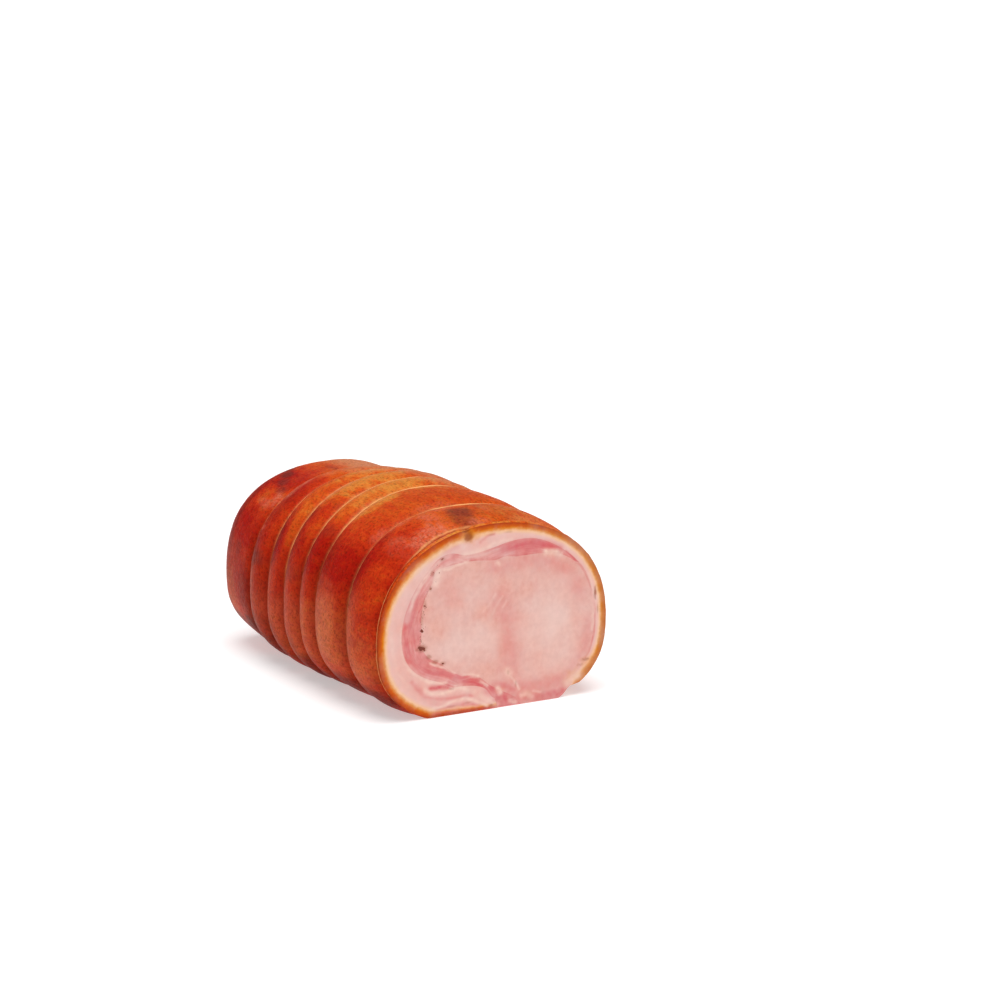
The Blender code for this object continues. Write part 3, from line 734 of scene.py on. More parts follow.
class Nodes:
    """Short ways to add shader nodes to one material."""

    def __init__(self, name):
        self.material = bpy.data.materials.new(name)
        self.material.use_nodes = True
        self.tree = self.material.node_tree
        self.shader = self.tree.nodes["Principled BSDF"]

    def new(self, kind, output, settings=(), **inputs):
        """Adds a node and returns one of its outputs."""
        node = self.tree.nodes.new(kind)
        for key, value in dict(settings).items():
            setattr(node, key, value)
        for key, value in inputs.items():
            self.put(node.inputs[key.replace("_", " ")], value)
        return node.outputs[output]

    def put(self, socket, value):
        if isinstance(value, bpy.types.NodeSocket):
            self.tree.links.new(value, socket)
        else:
            socket.default_value = (*value, 1.0) if socket.type == "RGBA" else value

    def number(self, name):
        return self.new("ShaderNodeAttribute", "Fac", {"attribute_name": name})

    def along(self, name):
        return self.new("ShaderNodeAttribute", "Vector", {"attribute_name": name})

    def place(self):
        return self.new("ShaderNodeTexCoord", "Object")

    def stretched(self, vector, scale):
        return self.both("ShaderNodeVectorMath", {"operation": "MULTIPLY"}, vector, scale)

    def noise(self, vector, scale, detail=2.0, roughness=0.5):
        inputs = {"Vector": vector, "Scale": scale, "Detail": detail, "Roughness": roughness}
        return self.new("ShaderNodeTexNoise", "Fac", **inputs)

    def cells(self, vector, scale, feature="F1"):
        settings = {"feature": feature}
        return self.new("ShaderNodeTexVoronoi", "Distance", settings, Vector=vector, Scale=scale)

    def both(self, kind, settings, *values):
        """Node of a kind whose inputs are told apart by their order only."""
        socket = self.new(kind, 0, settings)
        for place, value in zip(socket.node.inputs, values):
            self.put(place, value)
        return socket

    def maths(self, operation, a, b, clamp=False):
        return self.both("ShaderNodeMath", {"operation": operation, "use_clamp": clamp}, a, b)

    def times(self, a, b, clamp=False):
        return self.maths("MULTIPLY", a, b, clamp)

    def span(self, value, low, high, to_low=0.0, to_high=1.0):
        inputs = {"Value": value, "From_Min": low, "From_Max": high, "To_Min": to_low, "To_Max": to_high}
        return self.new("ShaderNodeMapRange", "Result", **inputs)

    def ramp(self, value, *stops):
        socket = self.new("ShaderNodeValToRGB", "Color", Fac=value)
        elements = socket.node.color_ramp.elements
        while len(elements) < len(stops):
            elements.new(1.0)
        for element, (position, colour) in zip(elements, stops):
            element.position = position
            element.color = (*colour, 1.0)
        return socket

    def mix(self, share, a, b):
        node = self.tree.nodes.new("ShaderNodeMix")
        node.data_type = "RGBA"
        for place, value in ((0, share), (6, a), (7, b)):
            self.put(node.inputs[place], value)
        return node.outputs[2]

    def tone(self, colour, value, saturation=1.0):
        inputs = {"Color": colour, "Saturation": saturation, "Value": value}
        return self.new("ShaderNodeHueSaturation", "Color", **inputs)

    def bump(self, height, distance, strength=1.0, **normal):
        inputs = {"Height": height, "Distance": distance, "Strength": strength}
        return self.new("ShaderNodeBump", "Normal", **inputs, **normal)

    def finish(self, colour, roughness, normal, specular):
        self.shader.inputs["Specular IOR Level"].default_value = specular
        for key, value in (("Base Color", colour), ("Roughness", roughness), ("Normal", normal)):
            self.put(self.shader.inputs[key], value)
        return self.material


def skin_material(look):
    """Roasted rind: gold to deep red in patches, with stains, pink crackle and tan partly painted as sheen,
    string marks partly painted as highlights, and painted shade in the grooves, low on the flank and at the
    far end.
    """
    n = Nodes("roasted_rind")
    where, solid = n.along("skin_place"), n.place()
    mottle = n.noise(solid, MOTTLE_SCALE, 5.0, 0.68)
    speck = n.noise(solid, 620.0, 3.0, 0.6)
    streak = n.noise(n.stretched(where, (420.0, 90.0, 1.0)), 1.0, 3.0, 0.6)
    plate = n.span(n.cells(where, CRACKLE_SCALE, "DISTANCE_TO_EDGE"), 0.02, 0.16)

    def cover(colour, key, share):
        return n.mix(n.times(share, COVER[key]), colour, getattr(look, key))

    red = n.maths("ADD", n.number("redness"), n.span(mottle, 0.34, 0.66, -0.08, 0.08))
    red = n.maths("ADD", red, n.span(streak, 0.34, 0.66, -0.08, 0.08), clamp=True)
    colour = n.ramp(red, (0.05, look.gold), (0.36, look.orange), (0.68, look.red), (1.0, look.deep_red))
    # tan, partly painted sheen
    tan = n.times(n.number("tan"), n.span(streak, 0.3, 0.7, 0.7, 1.0), clamp=True)
    colour = cover(colour, "tan", tan)
    stain = n.times(n.number("stain"), n.span(mottle, 0.3, 0.62, 0.85, 1.1), clamp=True)
    colour = cover(colour, "stain", stain)
    # pinkish crackle, partly painted sheen
    blush = n.times(n.number("blush"), n.span(mottle, 0.36, 0.58, 0.1, 1.0), clamp=True)
    colour = cover(colour, "blush", n.times(blush, n.span(plate, 0.0, 1.0, 0.5, 1.0)))
    # painted shade in the grooves behind the string marks
    colour = cover(colour, "groove", n.number("groove"))
    dark = n.times(n.span(speck, 0.34, 0.5, 0.6, 1.0), n.span(streak, 0.3, 0.5, 0.82, 1.0))
    dark = n.times(dark, n.span(mottle, 0.34, 0.66, 1.07, 0.93))
    # painted shade darkens the rind low on the flank, near the floor and at the far end
    dark = n.times(dark, n.span(n.number("shade"), 0.0, 1.0, 1.0, DEEPEST_PAINTED_SHADE))
    colour = n.tone(colour, dark)
    # pale string lines, partly painted highlight on the lips
    line = n.times(n.number("string_line"), LINE_GAIN, clamp=True)
    colour = n.mix(line, colour, look.string_line)
    roughness = n.span(mottle, 0.25, 0.75, look.gloss - 0.08, look.gloss + 0.12)
    normal = n.bump(n.noise(solid, 330.0, 3.0, 0.6), 0.0006, look.relief)
    pores = n.span(n.cells(solid, PORE_SCALE), 0.05, 0.4)
    normal = n.bump(pores, 0.0002, look.relief, Normal=normal)
    deep = n.times(n.span(plate, 0.0, 1.0, 1.0, 0.0), n.number("blush"))
    normal = n.bump(n.maths("SUBTRACT", 0.0, deep), 0.0004, look.relief, Normal=normal)
    return n.finish(colour, roughness, normal, SKIN_SPECULAR)


def cut_material(name, look, base, grain_scale, layered):
    """Cut surface: a base colour overlaid with the named patches, moist, with fine grain."""
    n = Nodes(name)
    solid = n.place()
    cloud = n.noise(solid, 75.0, 3.0, 0.55)
    mottle = n.noise(solid, MOTTLE_SCALE, 4.0, 0.62)
    along = n.along("layer_place") if layered else solid
    grain = n.noise(n.stretched(along, grain_scale), 1.0, 3.0, 0.6)
    colour = base(n, mottle, grain)
    patchy = n.span(mottle, 0.3, 0.6, 0.65, 1.0)
    colour = n.mix(n.times(n.number("rosy"), patchy), colour, look.rosy)
    pale = n.times(n.number("pale"), n.span(cloud, 0.3, 0.7, 0.6, 1.0))
    colour = n.mix(pale, colour, look.pale)
    colour = n.mix(n.times(n.number("golden"), 0.9), colour, look.golden)
    colour = n.mix(n.times(n.number("white_fat"), patchy), colour, look.white_fat)
    colour = n.mix(n.number("brown"), colour, look.brown)
    colour = n.tone(colour, n.span(mottle, 0.3, 0.7, 0.965, 1.03), n.span(cloud, 0.3, 0.7, 0.9, 1.1))
    roughness = n.span(mottle, 0.3, 0.7, look.moist - 0.06, look.moist + 0.1)
    normal = n.bump(mottle, 0.0005, look.relief)
    normal = n.bump(grain, 0.0003, look.relief, Normal=normal)
    return n.finish(colour, roughness, normal, CUT_SPECULAR)


def fat_material(look):
    """Fat, seared in bands from the skin inwards."""

    def base(n, mottle, grain):
        sear = n.maths("ADD", n.number("sear"), n.span(mottle, 0.25, 0.75, -0.7, 0.7))
        sear = n.maths("DIVIDE", sear, 14.0, clamp=True)
        colour = n.ramp(sear, *((place, getattr(look, key)) for key, place in SEAR_BANDS.items()))
        edge = n.times(n.number("tan"), n.span(sear, 0.2, 0.5, 0.85, 0.0))
        colour = n.mix(edge, colour, look.tan)
        streaks = n.times(n.span(grain, 0.52, 0.7, 0.0, 0.45), n.span(sear, 0.45, 0.66))
        return n.mix(streaks, colour, look.fat_deep)

    return cut_material("seared_fat", look, base, (45.0, 620.0, 1.0), True)


def lean_material(look):
    """Pink belly lean with darker and paler grain along the roll."""

    def base(n, mottle, grain):
        colour = n.ramp(mottle, (0.25, look.lean), (0.75, look.lean_light))
        colour = n.mix(n.span(grain, 0.5, 0.68, 0.0, 0.5), colour, look.rosy)
        return n.mix(n.span(grain, 0.46, 0.3, 0.0, 0.4), colour, look.pale)

    return cut_material("belly_lean", look, base, (60.0, 520.0, 1.0), True)


def loin_material(look):
    """Pale loin with faint grain."""

    def base(n, mottle, grain):
        colour = n.ramp(mottle, (0.25, look.loin), (0.8, look.loin_light))
        return n.mix(n.span(grain, 0.52, 0.7, 0.0, 0.22), colour, look.lean_light)

    return cut_material("pale_loin", look, base, (260.0, 60.0, 170.0), False)


# Pieces

SKIN_SLOT, FAT_SLOT = 0, 1
ARC_STATION = 60.0
RIM_REACH = 2.2
LOIN_MIDDLE = (14.0, -HALF_LENGTH, 52.0)
EDGE_DEPTH, INNER_DEPTH = 8.0, 14.0


def arc_lengths(middle, angles):
    """Way round the outline from the first angle to each, in millimetres."""
    reach = middle.smooth(angles)
    a = np.radians(angles)
    x, z = reach * np.cos(a), reach * np.sin(a)
    return np.concatenate([[0.0], np.cumsum(np.hypot(np.diff(x), np.diff(z)))])


class WrapMesh:
    """Points of the wrap with their place on the skin, and faces with their material."""

    def __init__(self):
        self.points, self.faces, self.slots = [], [], []
        self.places = [[], [], [], []]

    def add(self, new, *place):
        """Adds points; place is y, angle, way round and depth under the skin. Returns their numbers."""
        start = len(self.places[0])
        self.points.append(new)
        for values, value in zip(self.places, place):
            values.extend(np.broadcast_to(value, len(new)))
        return list(range(start, start + len(new)))

    def face(self, slot, *corners):
        self.faces.append(corners)
        self.slots.append(slot)

    def strip(self, slot, near, far):
        for i in range(len(near) - 1):
            self.face(slot, near[i], near[i + 1], far[i + 1], far[i])


def wrap_inside(mesh, stations, cut_end, outer, front_row, angles, arc):
    """Inner face and both edges of the wrap, from the cut to the closed end. Returns the last row."""
    layers = [0] + [j for j in range(24, cut_end, 24) if cut_end - j > 8] + [cut_end]
    near = front_row
    for first, second in zip(layers[:-1], layers[1:]):
        row = Slice(stations[second]).under(angles, round_keys(FAT_DEPTH, angles))
        far = mesh.add(row, stations[second], angles, arc, INNER_DEPTH)
        known = np.concatenate(mesh.points)
        lines = []
        for side in (0, -1):
            start, stop = known[near[side]], known[far[side]]
            line = [near[side]]
            for j in range(first + 1, second):
                u = (stations[j] - stations[first]) / (stations[second] - stations[first])
                point = (start + (stop - start) * u)[None, :]
                line += mesh.add(point, stations[j], angles[side], arc[side], EDGE_DEPTH)
            lines.append(line + [far[side]])
        last = len(near) - 2
        for one, two in zip(lines[0][:-1], lines[0][1:]):
            mesh.face(FAT_SLOT, one, two, far[1])
        mesh.face(FAT_SLOT, near[0], far[1], near[1])
        for i in range(1, last):
            mesh.face(FAT_SLOT, near[i], far[i], far[i + 1], near[i + 1])
        for one, two in zip(lines[1][:-1], lines[1][1:]):
            mesh.face(FAT_SLOT, near[last], two, one)
        mesh.face(FAT_SLOT, near[last], far[last], far[last + 1])
        for side, line in zip((0, -1), lines):
            for j in range(first, second):
                k = j - first
                mesh.face(FAT_SLOT, outer[j][side], outer[j + 1][side], line[k + 1], line[k])
        near = far
    return near


def build_wrap(look):
    """Rind and fat: skin from the cut to the closed far end, the cut's rim, and the hollow inside."""
    mesh = WrapMesh()
    inner_angles, outer_angles = wrap_angles()
    gap_angles = np.linspace(outer_angles[-1], 360.0 + outer_angles[0], GAP_STEPS)[1:-1]
    stations = skin_stations()
    cut_end = stations.index(LAYER_END)
    arc = arc_lengths(Slice(ARC_STATION), outer_angles)
    gap_arc = arc[-1] + (gap_angles - outer_angles[-1]) * 1.1

    outer, closing = [], []
    for y in stations:
        here = Slice(y)
        inset = RIM_ROUND * (1.0 - min(y / RIM_REACH, 1.0)) ** 2
        detail = skin_detail(np.full(len(outer_angles), y), outer_angles, arc) - inset
        row = mesh.add(here.skin(outer_angles, detail), y, outer_angles, arc, 0.0)
        outer.append(row)
        if y >= LAYER_END:
            detail = skin_detail(np.full(len(gap_angles), y), gap_angles, gap_arc)
            gap = mesh.add(here.skin(gap_angles, detail), y, gap_angles - 360.0, gap_arc, 0.0)
            closing.append([row[-1]] + gap + [row[0]])
    tip = Slice(LENGTH).place(np.zeros(1), np.zeros(1))
    tip = mesh.add(tip, LENGTH, 90.0, 0.0, 0.0)[0]

    skin_edge = mesh.points[0]
    fat_edge = Slice(0.0).under(inner_angles, round_keys(FAT_DEPTH, inner_angles))
    depth = np.linalg.norm(skin_edge - fat_edge, axis=1)
    near = outer[0]
    for k in range(1, FACE_STEPS + 1):
        u = (k / FACE_STEPS) ** 1.15
        row = skin_edge * (1 - u) + fat_edge * u
        row[:, 1] = -HALF_LENGTH + face_relief(row[:, 0], row[:, 2]) * ease(u, 0.0, 0.12)
        far = mesh.add(row, 0.0, outer_angles * (1 - u) + inner_angles * u, arc, depth * u)
        for i in range(len(near) - 1):
            mesh.face(FAT_SLOT, near[i], far[i], far[i + 1], near[i + 1])
        near = far

    for rows in (outer, closing):
        for one, two in zip(rows[:-1], rows[1:]):
            mesh.strip(SKIN_SLOT, one, two)
    ring = outer[-1] + closing[-1][1:-1]
    for one, two in zip(ring, ring[1:] + ring[:1]):
        mesh.face(SKIN_SLOT, one, two, tip)
    inner = wrap_inside(mesh, stations, cut_end, outer, near, inner_angles, arc)
    mesh.face(FAT_SLOT, *inner, *closing[0])

    points = np.concatenate(mesh.points)
    at_y, at_angle, at_arc, depth = (np.array(values, float) for values in mesh.places)
    numbers = skin_numbers(at_y, at_angle, at_arc)
    numbers.update(cut_numbers(points))
    numbers["sear"] = depth / round_keys(SEAR_ROUND, at_angle)
    vectors = {
        "skin_place": np.stack([at_arc * MM, at_y * MM, np.zeros_like(at_y)], -1),
        "layer_place": np.stack([at_arc * MM, depth * MM, at_y * MM], -1),
    }
    obj = make_mesh("wrap", points, mesh.faces, numbers, vectors, mesh.slots)
    obj.data.materials.append(skin_material(look.skin))
    obj.data.materials.append(fat_material(look.cut))
    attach(obj, "root")
    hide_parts("rind_and_fat")
    return obj


def layer_stations(count):
    """Distances behind the cut at which the lean and the loin have a ring."""
    return [LAYER_END * k / count for k in range(count)] + [LAYER_END - LAYERS_SHORT]


def lean_edges(here, angles):
    """Outer and inner edge of the lean at one slice, as far round as the underside's seam."""
    outer = here.under(angles, round_keys(FAT_DEPTH, angles))
    seam_low = here.under(np.array([SEAM_OUTER]), np.zeros(1))[0]
    seam_high = here.under(np.array([SEAM_INNER]), round_keys(FAT_DEPTH, np.array([SEAM_INNER])))[0]
    on_floor = here.under(angles, np.zeros(len(angles)))
    u = np.clip((angles - SEAM_INNER) / (SEAM_OUTER - SEAM_INNER), 0.0, 1.0)[:, None]
    outer = np.where(angles[:, None] > SEAM_INNER, seam_high * (1 - u) + seam_low * u, outer)
    outer = np.where(angles[:, None] > SEAM_OUTER, on_floor, outer)
    inner = here.under(angles, loin_depth(angles))
    return outer, inner


def loin_depth(angles):
    """Depth of the loin's boundary, which meets the fat where the lean ends."""
    fat = round_keys(FAT_DEPTH, angles)
    loin = round_keys(LOIN_DEPTH, angles)
    share = ease(angles, LEAN_START, LEAN_TOP_END + 4.0)
    depth = np.where(angles < LEAN_START, fat, fat + (loin - fat) * share)
    return np.where(angles >= LEAN_FLOOR_END, 0.0, np.maximum(depth, 0.0))


def build_lean(look):
    """Belly lean: a band between fat and loin, from the cut to the end of the layers."""
    shared, _ = wrap_angles()
    seam = np.linspace(SEAM_INNER, LEAN_FLOOR_END, SEAM_STEPS)[1:]
    angles = np.concatenate([shared[shared >= LEAN_START], seam])
    count = len(angles)
    outer, inner = lean_edges(Slice(0.0), angles)
    points = [cut_rows(outer, inner, BAND_STEPS, BAND_STEPS + 1)]
    faces = grid_faces(BAND_STEPS + 1, count)
    middle_steps = np.diff((outer + inner) / 2, axis=0)
    arc = np.concatenate([[0.0], np.cumsum(np.linalg.norm(middle_steps, axis=1))])
    thick = np.linalg.norm(outer - inner, axis=1)
    shares = [k / BAND_STEPS for k in range(BAND_STEPS + 1)]
    layer = [np.stack([arc, 20.0 + thick * share, 0.0 * arc], -1) for share in shares]
    round_arc = np.concatenate([arc, arc[::-1]])
    loops = [list(range(count)) + [BAND_STEPS * count + i for i in reversed(range(count))]]
    total = (BAND_STEPS + 1) * count
    for y in layer_stations(16)[1:]:
        outer, inner = lean_edges(Slice(y), angles)
        points.append(np.concatenate([outer, inner[::-1]]))
        layer.append(np.stack([round_arc, np.full(2 * count, 20.0), np.full(2 * count, y)], -1))
        loops.append(list(range(total, total + 2 * count)))
        total += 2 * count
    faces += tube_faces(loops)
    back = loops[-1]
    for i in range(count - 1):
        faces.append((back[i], back[i + 1], back[2 * count - 2 - i], back[2 * count - 1 - i]))
    points = np.concatenate(points)
    vectors = {"layer_place": np.concatenate(layer) * MM}
    obj = make_mesh("lean", points, faces, cut_numbers(points), vectors)
    obj.data.materials.append(lean_material(look.cut))
    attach(obj, "root")
    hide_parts("belly_lean")
    return obj


def loin_loop(here):
    """Outline of the loin at one slice: along the fat, the lean and the bare underside."""
    shared, _ = wrap_angles()
    low = np.linspace(SEAM_INNER, LEAN_FLOOR_END, SEAM_STEPS)[1:]
    bare = np.linspace(LEAN_FLOOR_END, 360.0 + FLAP_INNER, BARE_STEPS)[1:-1]
    angles = np.concatenate([shared, low, bare])
    inset = 3.0 * ease(angles, 308.0, 360.0 + FLAP_INNER) ** 1.5
    return here.under(angles, np.where(angles > LEAN_FLOOR_END, inset, loin_depth(angles)))


def build_loin(look):
    """Loin: the pale middle, from the cut to the end of the layers."""
    front = loin_loop(Slice(0.0))
    count = len(front)
    middle = np.array(LOIN_MIDDLE)
    centre = middle.copy()
    centre[1] += face_relief(middle[0], middle[2])
    points = [cut_rows(front, middle, LOIN_RINGS, LOIN_RINGS), centre[None, :]]
    faces = grid_faces(LOIN_RINGS, count, closed=True)
    tip = LOIN_RINGS * count
    faces += [(tip - count + i, tip - count + (i + 1) % count, tip) for i in range(count)]
    loops, total = [list(range(count))], tip + 1
    for y in layer_stations(30)[1:]:
        points.append(loin_loop(Slice(y)))
        loops.append(list(range(total, total + count)))
        total += count
    faces += tube_faces(loops) + [tuple(loops[-1])]
    points = np.concatenate(points)
    obj = make_mesh("loin_core", points, faces, cut_numbers(points))
    obj.data.materials.append(loin_material(look.cut))
    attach(obj, "root")
    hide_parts("loin")
    return obj


HERB_CRUMBS = 110
HERB_SIDES = 9
HERB_LEVEL = 0.25
# Clumps of herbs on the cut: x, z, half length, half width, turn in degrees
HERB_CLUMPS = (
    (-52.1, 46.9, 2.7, 1.7, 170), (-53.6, 47.5, 1.6, 1.2, 20), (-50.6, 46, 1.5, 1.1, 120),
    (-47.2, 40.9, 1.9, 1.2, 120), (-46, 39.7, 1.2, 0.8, 30), (-43.3, 37.2, 2.2, 1.1, 145),
    (-41.6, 36.1, 1.5, 0.9, 150), (-37.1, 35, 2, 1, 160), (-52.2, 58.4, 1.3, 1.6, 60),
    (-36.9, 103.6, 1.4, 0.8, 30), (-43.6, 95.6, 0.8, 1.9, 60), (-39.4, 94.8, 0.8, 0.9, 0),
    (-41.9, 89.4, 1, 1.2, 45), (-45.6, 85.2, 0.8, 1, 100), (-50, 74.4, 0.6, 1.2, 80),
)
# Points of the line along which the crumbs lie: x, z
HERB_TRAIL = (
    (-40, 100), (-44.5, 93.5), (-46.2, 86), (-49.4, 78), (-51.5, 68), (-52.2, 59), (-52.6, 50), (-49, 42.5),
    (-43, 37), (-36, 34),
)


def build_herbs(look):
    """Chopped herbs and pepper along the meeting of lean and loin, half sunk in the cut."""
    rng = np.random.default_rng(7)
    flakes = [(x, z, a, b, math.radians(t), 0.12) for x, z, a, b, t in HERB_CLUMPS]
    trail = np.array(HERB_TRAIL)
    for _ in range(HERB_CRUMBS):
        s = rng.uniform(0, len(trail) - 1.001)
        i = int(s)
        x, z = trail[i] + (trail[i + 1] - trail[i]) * (s - i)
        spread = rng.normal(0, 1.1, 2)
        size = rng.uniform(0.12, 0.3)
        long, turn = size * rng.uniform(1.0, 2.2), rng.uniform(0, 6.3)
        flakes.append((x + spread[0], z + spread[1], long, size, turn, 0.1))
    points, faces, shade = [], [], []
    sides, cut = HERB_SIDES, HERB_LEVEL - HALF_LENGTH
    for x, z, long, wide, turn, tall in flakes:
        start = len(points)
        wobble = rng.uniform(0.6, 1.3, sides)
        ca, sa = math.cos(turn), math.sin(turn)
        tint = rng.uniform(0.0, 0.25) if z < 60.0 and long > 0.8 else rng.uniform(0.55, 1.0)
        for level, share in ((0.5, 0.95), (-0.35 * tall, 0.9), (-0.8 * tall, 0.55)):
            for i in range(sides):
                a = 2 * math.pi * i / sides
                u = long * share * wobble[i] * math.cos(a)
                v = wide * share * wobble[i] * math.sin(a)
                points.append((x + u * ca - v * sa, cut + level, z + u * sa + v * ca))
        points.append((x, cut - tall, z))
        shade += [tint] * (3 * sides + 1)
        for level in range(2):
            for i in range(sides):
                j = (i + 1) % sides
                a = start + level * sides
                faces.append((a + i, a + j, a + sides + j, a + sides + i))
        top = start + 2 * sides
        faces += [(top + i, top + (i + 1) % sides, start + 3 * sides) for i in range(sides)]
        faces.append(tuple(start + i for i in range(sides)))
    obj = make_mesh("herbs", np.array(points), faces, {"tint": np.array(shade)})
    n = Nodes("dried_herbs")
    solid = n.place()
    fine = n.noise(solid, 1500.0, 3.0, 0.6)
    dark, pale = look.cut.herb, look.cut.herb_pale
    colour = n.ramp(n.number("tint"), (0.0, dark), (0.35, dark), (1.0, pale))
    colour = n.tone(colour, n.span(fine, 0.3, 0.7, 0.75, 1.3))
    roughness = n.span(fine, 0.3, 0.7, 0.5, 0.75)
    obj.data.materials.append(n.finish(colour, roughness, n.bump(fine, 0.0003), 0.4))
    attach(obj, "root")
    return obj


# Stage

LAMP_DISTANCE = 2.0
CAMERA_PLACE = (-0.8111, -1.5422, 0.4667)
CAMERA_BACK = (-0.4905, -0.8487, 0.1978)


def aimed(obj, place, back):
    """Puts a lamp or camera into the scene with its back turned the given way."""
    obj.location = place
    obj.rotation_mode = "QUATERNION"
    obj.rotation_quaternion = back.to_track_quat("Z", "Y")
    bpy.context.scene.collection.objects.link(obj)


def build_stage(look):
    """Floor, two soft suns, white surroundings and the camera."""
    bpy.ops.mesh.primitive_circle_add(vertices=96, radius=look.floor_reach, fill_type="NGON")
    floor = bpy.context.object
    floor.name = "floor"
    n = Nodes("pale_floor")
    cloud = n.noise(n.place(), 1.3, 2.0)
    colour = n.tone(look.floor_colour, n.span(cloud, 0.3, 0.7, 0.99, 1.0))
    n.shader.inputs["Emission Color"].default_value = (1.0, 1.0, 1.0, 1.0)
    n.shader.inputs["Emission Strength"].default_value = look.floor_glow
    floor.data.materials.append(n.finish(colour, 0.9, n.bump(cloud, 0.00001), 0.1))
    for name, azimuth, elevation, strength, spread in (
        ("key_light", look.key_azimuth, look.key_elevation, look.key_strength, look.key_spread),
        ("fill_light", look.fill_azimuth, look.fill_elevation, look.fill_strength, look.fill_spread),
    ):
        lamp = bpy.data.lights.new(name, "SUN")
        lamp.energy = strength
        lamp.angle = spread
        obj = bpy.data.objects.new(name, lamp)
        flat = math.cos(elevation)
        back = Vector((math.sin(azimuth) * flat, -math.cos(azimuth) * flat, math.sin(elevation)))
        aimed(obj, back * LAMP_DISTANCE, back)
    world = bpy.data.worlds.new("studio")
    world.use_nodes = True
    sky = world.node_tree.nodes["Background"]
    sky.inputs["Color"].default_value = (1.0, 1.0, 1.0, 1.0)
    sky.inputs["Strength"].default_value = look.sky_strength
    bpy.context.scene.world = world
    camera = bpy.data.cameras.new("camera")
    camera.sensor_width = 36.0
    camera.lens = look.lens
    camera.clip_start, camera.clip_end = 0.05, 400.0
    obj = bpy.data.objects.new("camera", camera)
    aimed(obj, look.camera_place, Vector(look.camera_back))
    bpy.context.scene.camera = obj
    bpy.context.scene.view_settings.view_transform = "Standard"
    bpy.context.scene.view_settings.look = "None"


# Settings, operators and panel


def vector(name, description, default, **limits):
    return bpy.props.FloatVectorProperty(name=name, description=description, default=default, **limits)


def colour(name, description, *screen):
    """Colour setting, from red, green and blue as they look on a screen."""
    return vector(name, description, srgb(*screen), min=0.0, max=1.0, size=3, subtype="COLOR")


def number(name, description, default, least=0.0, **limits):
    return bpy.props.FloatProperty(name=name, description=description, default=default, min=least, **limits)


def angle(name, description, degrees):
    """Angle setting, from degrees."""
    return number(name, description, math.radians(degrees), -math.pi, subtype="ANGLE")


class SkinLook(bpy.types.PropertyGroup):
    """Colours and finish of the roasted rind"""

    gold: colour("Gold", "Lightly roasted rind along the top", 214, 130, 52)
    orange: colour("Orange", "Rind between gold and red", 208, 86, 24)
    red: colour("Red", "Well roasted rind", 192, 52, 17)
    deep_red: colour("Deep red", "Darkest rind on the flank", 166, 22, 9)
    # tan of the rind, also used for its painted sheen
    tan: colour("Tan", "Hazy light brown rind", 204, 142, 102)
    stain: colour("Stain", "Purple-brown marks", 104, 42, 36)
    # pinkish crackle of the rind, also used for its painted sheen
    blush: colour("Blush", "Pinkish crackled places", 228, 128, 98)
    # pale string line, partly a painted highlight
    string_line: colour("String line", "Pale line that the string left", 250, 186, 118)
    # colour of the painted shade in the string marks' creases
    groove: colour("Groove", "Bottom of the string mark", 128, 20, 6)
    gloss: number("Roughness", "Mean roughness of the rind", 0.4, 0.15, max=0.9)
    relief: number("Relief", "Strength of the fine relief", 0.6, max=1.0)


class CutLook(bpy.types.PropertyGroup):
    """Colours and finish of the cut surface"""

    burnt: colour("Burnt edge", "Skin at the cut's rim", 170, 56, 12)
    seared: colour("Seared", "Orange-brown under the skin", 202, 92, 28)
    golden: colour("Golden", "Golden fat under the skin", 220, 142, 72)
    cream: colour("Cream", "Cream fat", 238, 190, 150)
    tan: colour("Tan", "Tan edge of the fat on the right", 192, 134, 84)
    fat: colour("Fat", "Pinkish white fat", 230, 184, 174)
    fat_deep: colour("Inner fat", "Fat next to the lean", 228, 178, 168)
    white_fat: colour("White fat", "White streaks", 238, 206, 191)
    rosy: colour("Rosy", "Deep pink lean", 208, 98, 102)
    lean: colour("Lean", "Belly lean", 212, 126, 122)
    lean_light: colour("Light lean", "Lighter belly lean", 220, 148, 142)
    loin: colour("Loin", "Loin", 222, 166, 155)
    loin_light: colour("Light loin", "Lighter loin", 226, 180, 168)
    pale: colour("Pale", "Palest parts of the loin", 230, 198, 189)
    brown: colour("Brown", "Brown stains", 150, 72, 32)
    herb: colour("Herb", "Dark herbs", 118, 48, 34)
    herb_pale: colour("Pale herb", "Grey-brown herbs", 172, 106, 90)
    moist: number("Roughness", "Mean roughness of the cut", 0.46, 0.15, max=0.9)
    relief: number("Relief", "Strength of the fine relief", 0.35, max=1.0)


class StageLook(bpy.types.PropertyGroup):
    """Floor, light and camera"""

    floor_reach: number("Floor radius", "Radius of the floor", 60.0, 1.0, unit="LENGTH")
    floor_colour: vector("Floor", "Colour of the floor", (0.7, 0.7, 0.7), min=0.0, max=1.0, subtype="COLOR")
    floor_glow: number("Floor glow", "How strongly the floor is lit from below", 0.42)
    key_azimuth: angle("Key azimuth", "Direction of the key light", -30)
    key_elevation: angle("Key elevation", "Height of the key light", 82)
    key_strength: number("Key strength", "Strength of the key light", 2.6)
    key_spread: angle("Key size", "Angular size of the key light", 50)
    fill_azimuth: angle("Fill azimuth", "Direction of the fill light", -5)
    fill_elevation: angle("Fill elevation", "Height of the fill light", 30)
    fill_strength: number("Fill strength", "Strength of the fill light", 0.5)
    fill_spread: angle("Fill size", "Angular size of the fill light", 60)
    sky_strength: number("Ambient", "Strength of the white surroundings", 0.3)
    lens: number("Lens", "Focal length on a 36 mm sensor", 93.6, 1.0)
    camera_place: vector("Camera place", "Where the camera stands", CAMERA_PLACE, precision=4)
    camera_back: vector("Camera back", "Way from the subject to the camera", CAMERA_BACK, precision=4)


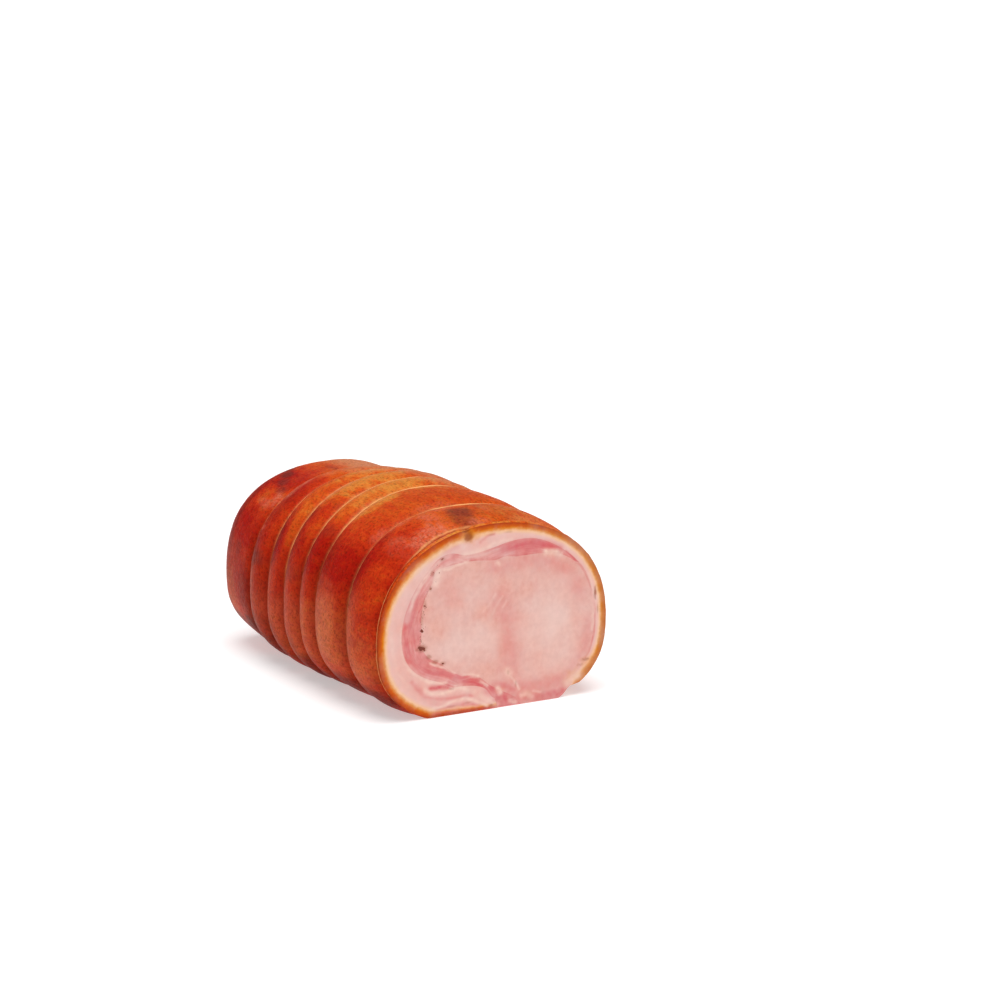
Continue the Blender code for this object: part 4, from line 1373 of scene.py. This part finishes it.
class RoastSettings(bpy.types.PropertyGroup):
    """All settings of the roast"""

    skin: bpy.props.PointerProperty(type=SkinLook)
    cut: bpy.props.PointerProperty(type=CutLook)
    stage: bpy.props.PointerProperty(type=StageLook)


class ROAST_OT_wrap(bpy.types.Operator):
    """Make the rind and fat wrapped round the roll"""

    bl_idname = "roast.wrap"
    bl_label = "Rind and fat"

    def execute(self, context):
        build_wrap(context.scene.roast)
        return {"FINISHED"}


class ROAST_OT_lean(bpy.types.Operator):
    """Make the belly lean inside the fat"""

    bl_idname = "roast.lean"
    bl_label = "Belly lean"

    def execute(self, context):
        build_lean(context.scene.roast)
        return {"FINISHED"}


class ROAST_OT_loin(bpy.types.Operator):
    """Make the loin in the middle of the roll"""

    bl_idname = "roast.loin"
    bl_label = "Loin"

    def execute(self, context):
        build_loin(context.scene.roast)
        return {"FINISHED"}


class ROAST_OT_herbs(bpy.types.Operator):
    """Make the herbs and pepper that show in the cut"""

    bl_idname = "roast.herbs"
    bl_label = "Herbs"

    def execute(self, context):
        build_herbs(context.scene.roast)
        return {"FINISHED"}


class ROAST_OT_stage(bpy.types.Operator):
    """Make the floor, the lights and the camera"""

    bl_idname = "roast.stage"
    bl_label = "Stage"

    def execute(self, context):
        build_stage(context.scene.roast.stage)
        return {"FINISHED"}


class ROAST_PT_panel(bpy.types.Panel):
    """Lists the roast's pieces and settings"""

    bl_idname = "ROAST_PT_panel"
    bl_label = "Rolled pork roast"
    bl_space_type = "VIEW_3D"
    bl_region_type = "UI"
    bl_category = "Roast"

    def draw(self, context):
        for operator in OPERATORS:
            self.layout.operator(operator.bl_idname)
        settings = context.scene.roast
        for group in (settings.skin, settings.cut, settings.stage):
            box = self.layout.box()
            for key in group.__annotations__:
                box.prop(group, key)


OPERATORS = (ROAST_OT_wrap, ROAST_OT_lean, ROAST_OT_loin, ROAST_OT_herbs, ROAST_OT_stage)
CLASSES = (SkinLook, CutLook, StageLook, RoastSettings) + OPERATORS + (ROAST_PT_panel,)


def register():
    for cls in CLASSES:
        bpy.utils.register_class(cls)
    bpy.types.Scene.roast = bpy.props.PointerProperty(type=RoastSettings)


def unregister():
    del bpy.types.Scene.roast
    for cls in reversed(CLASSES):
        bpy.utils.unregister_class(cls)


def main():
    register()
    bpy.ops.roast.wrap()
    bpy.ops.roast.lean()
    bpy.ops.roast.loin()
    bpy.ops.roast.herbs()
    bpy.ops.roast.stage()


if __name__ == "__main__":
    main()
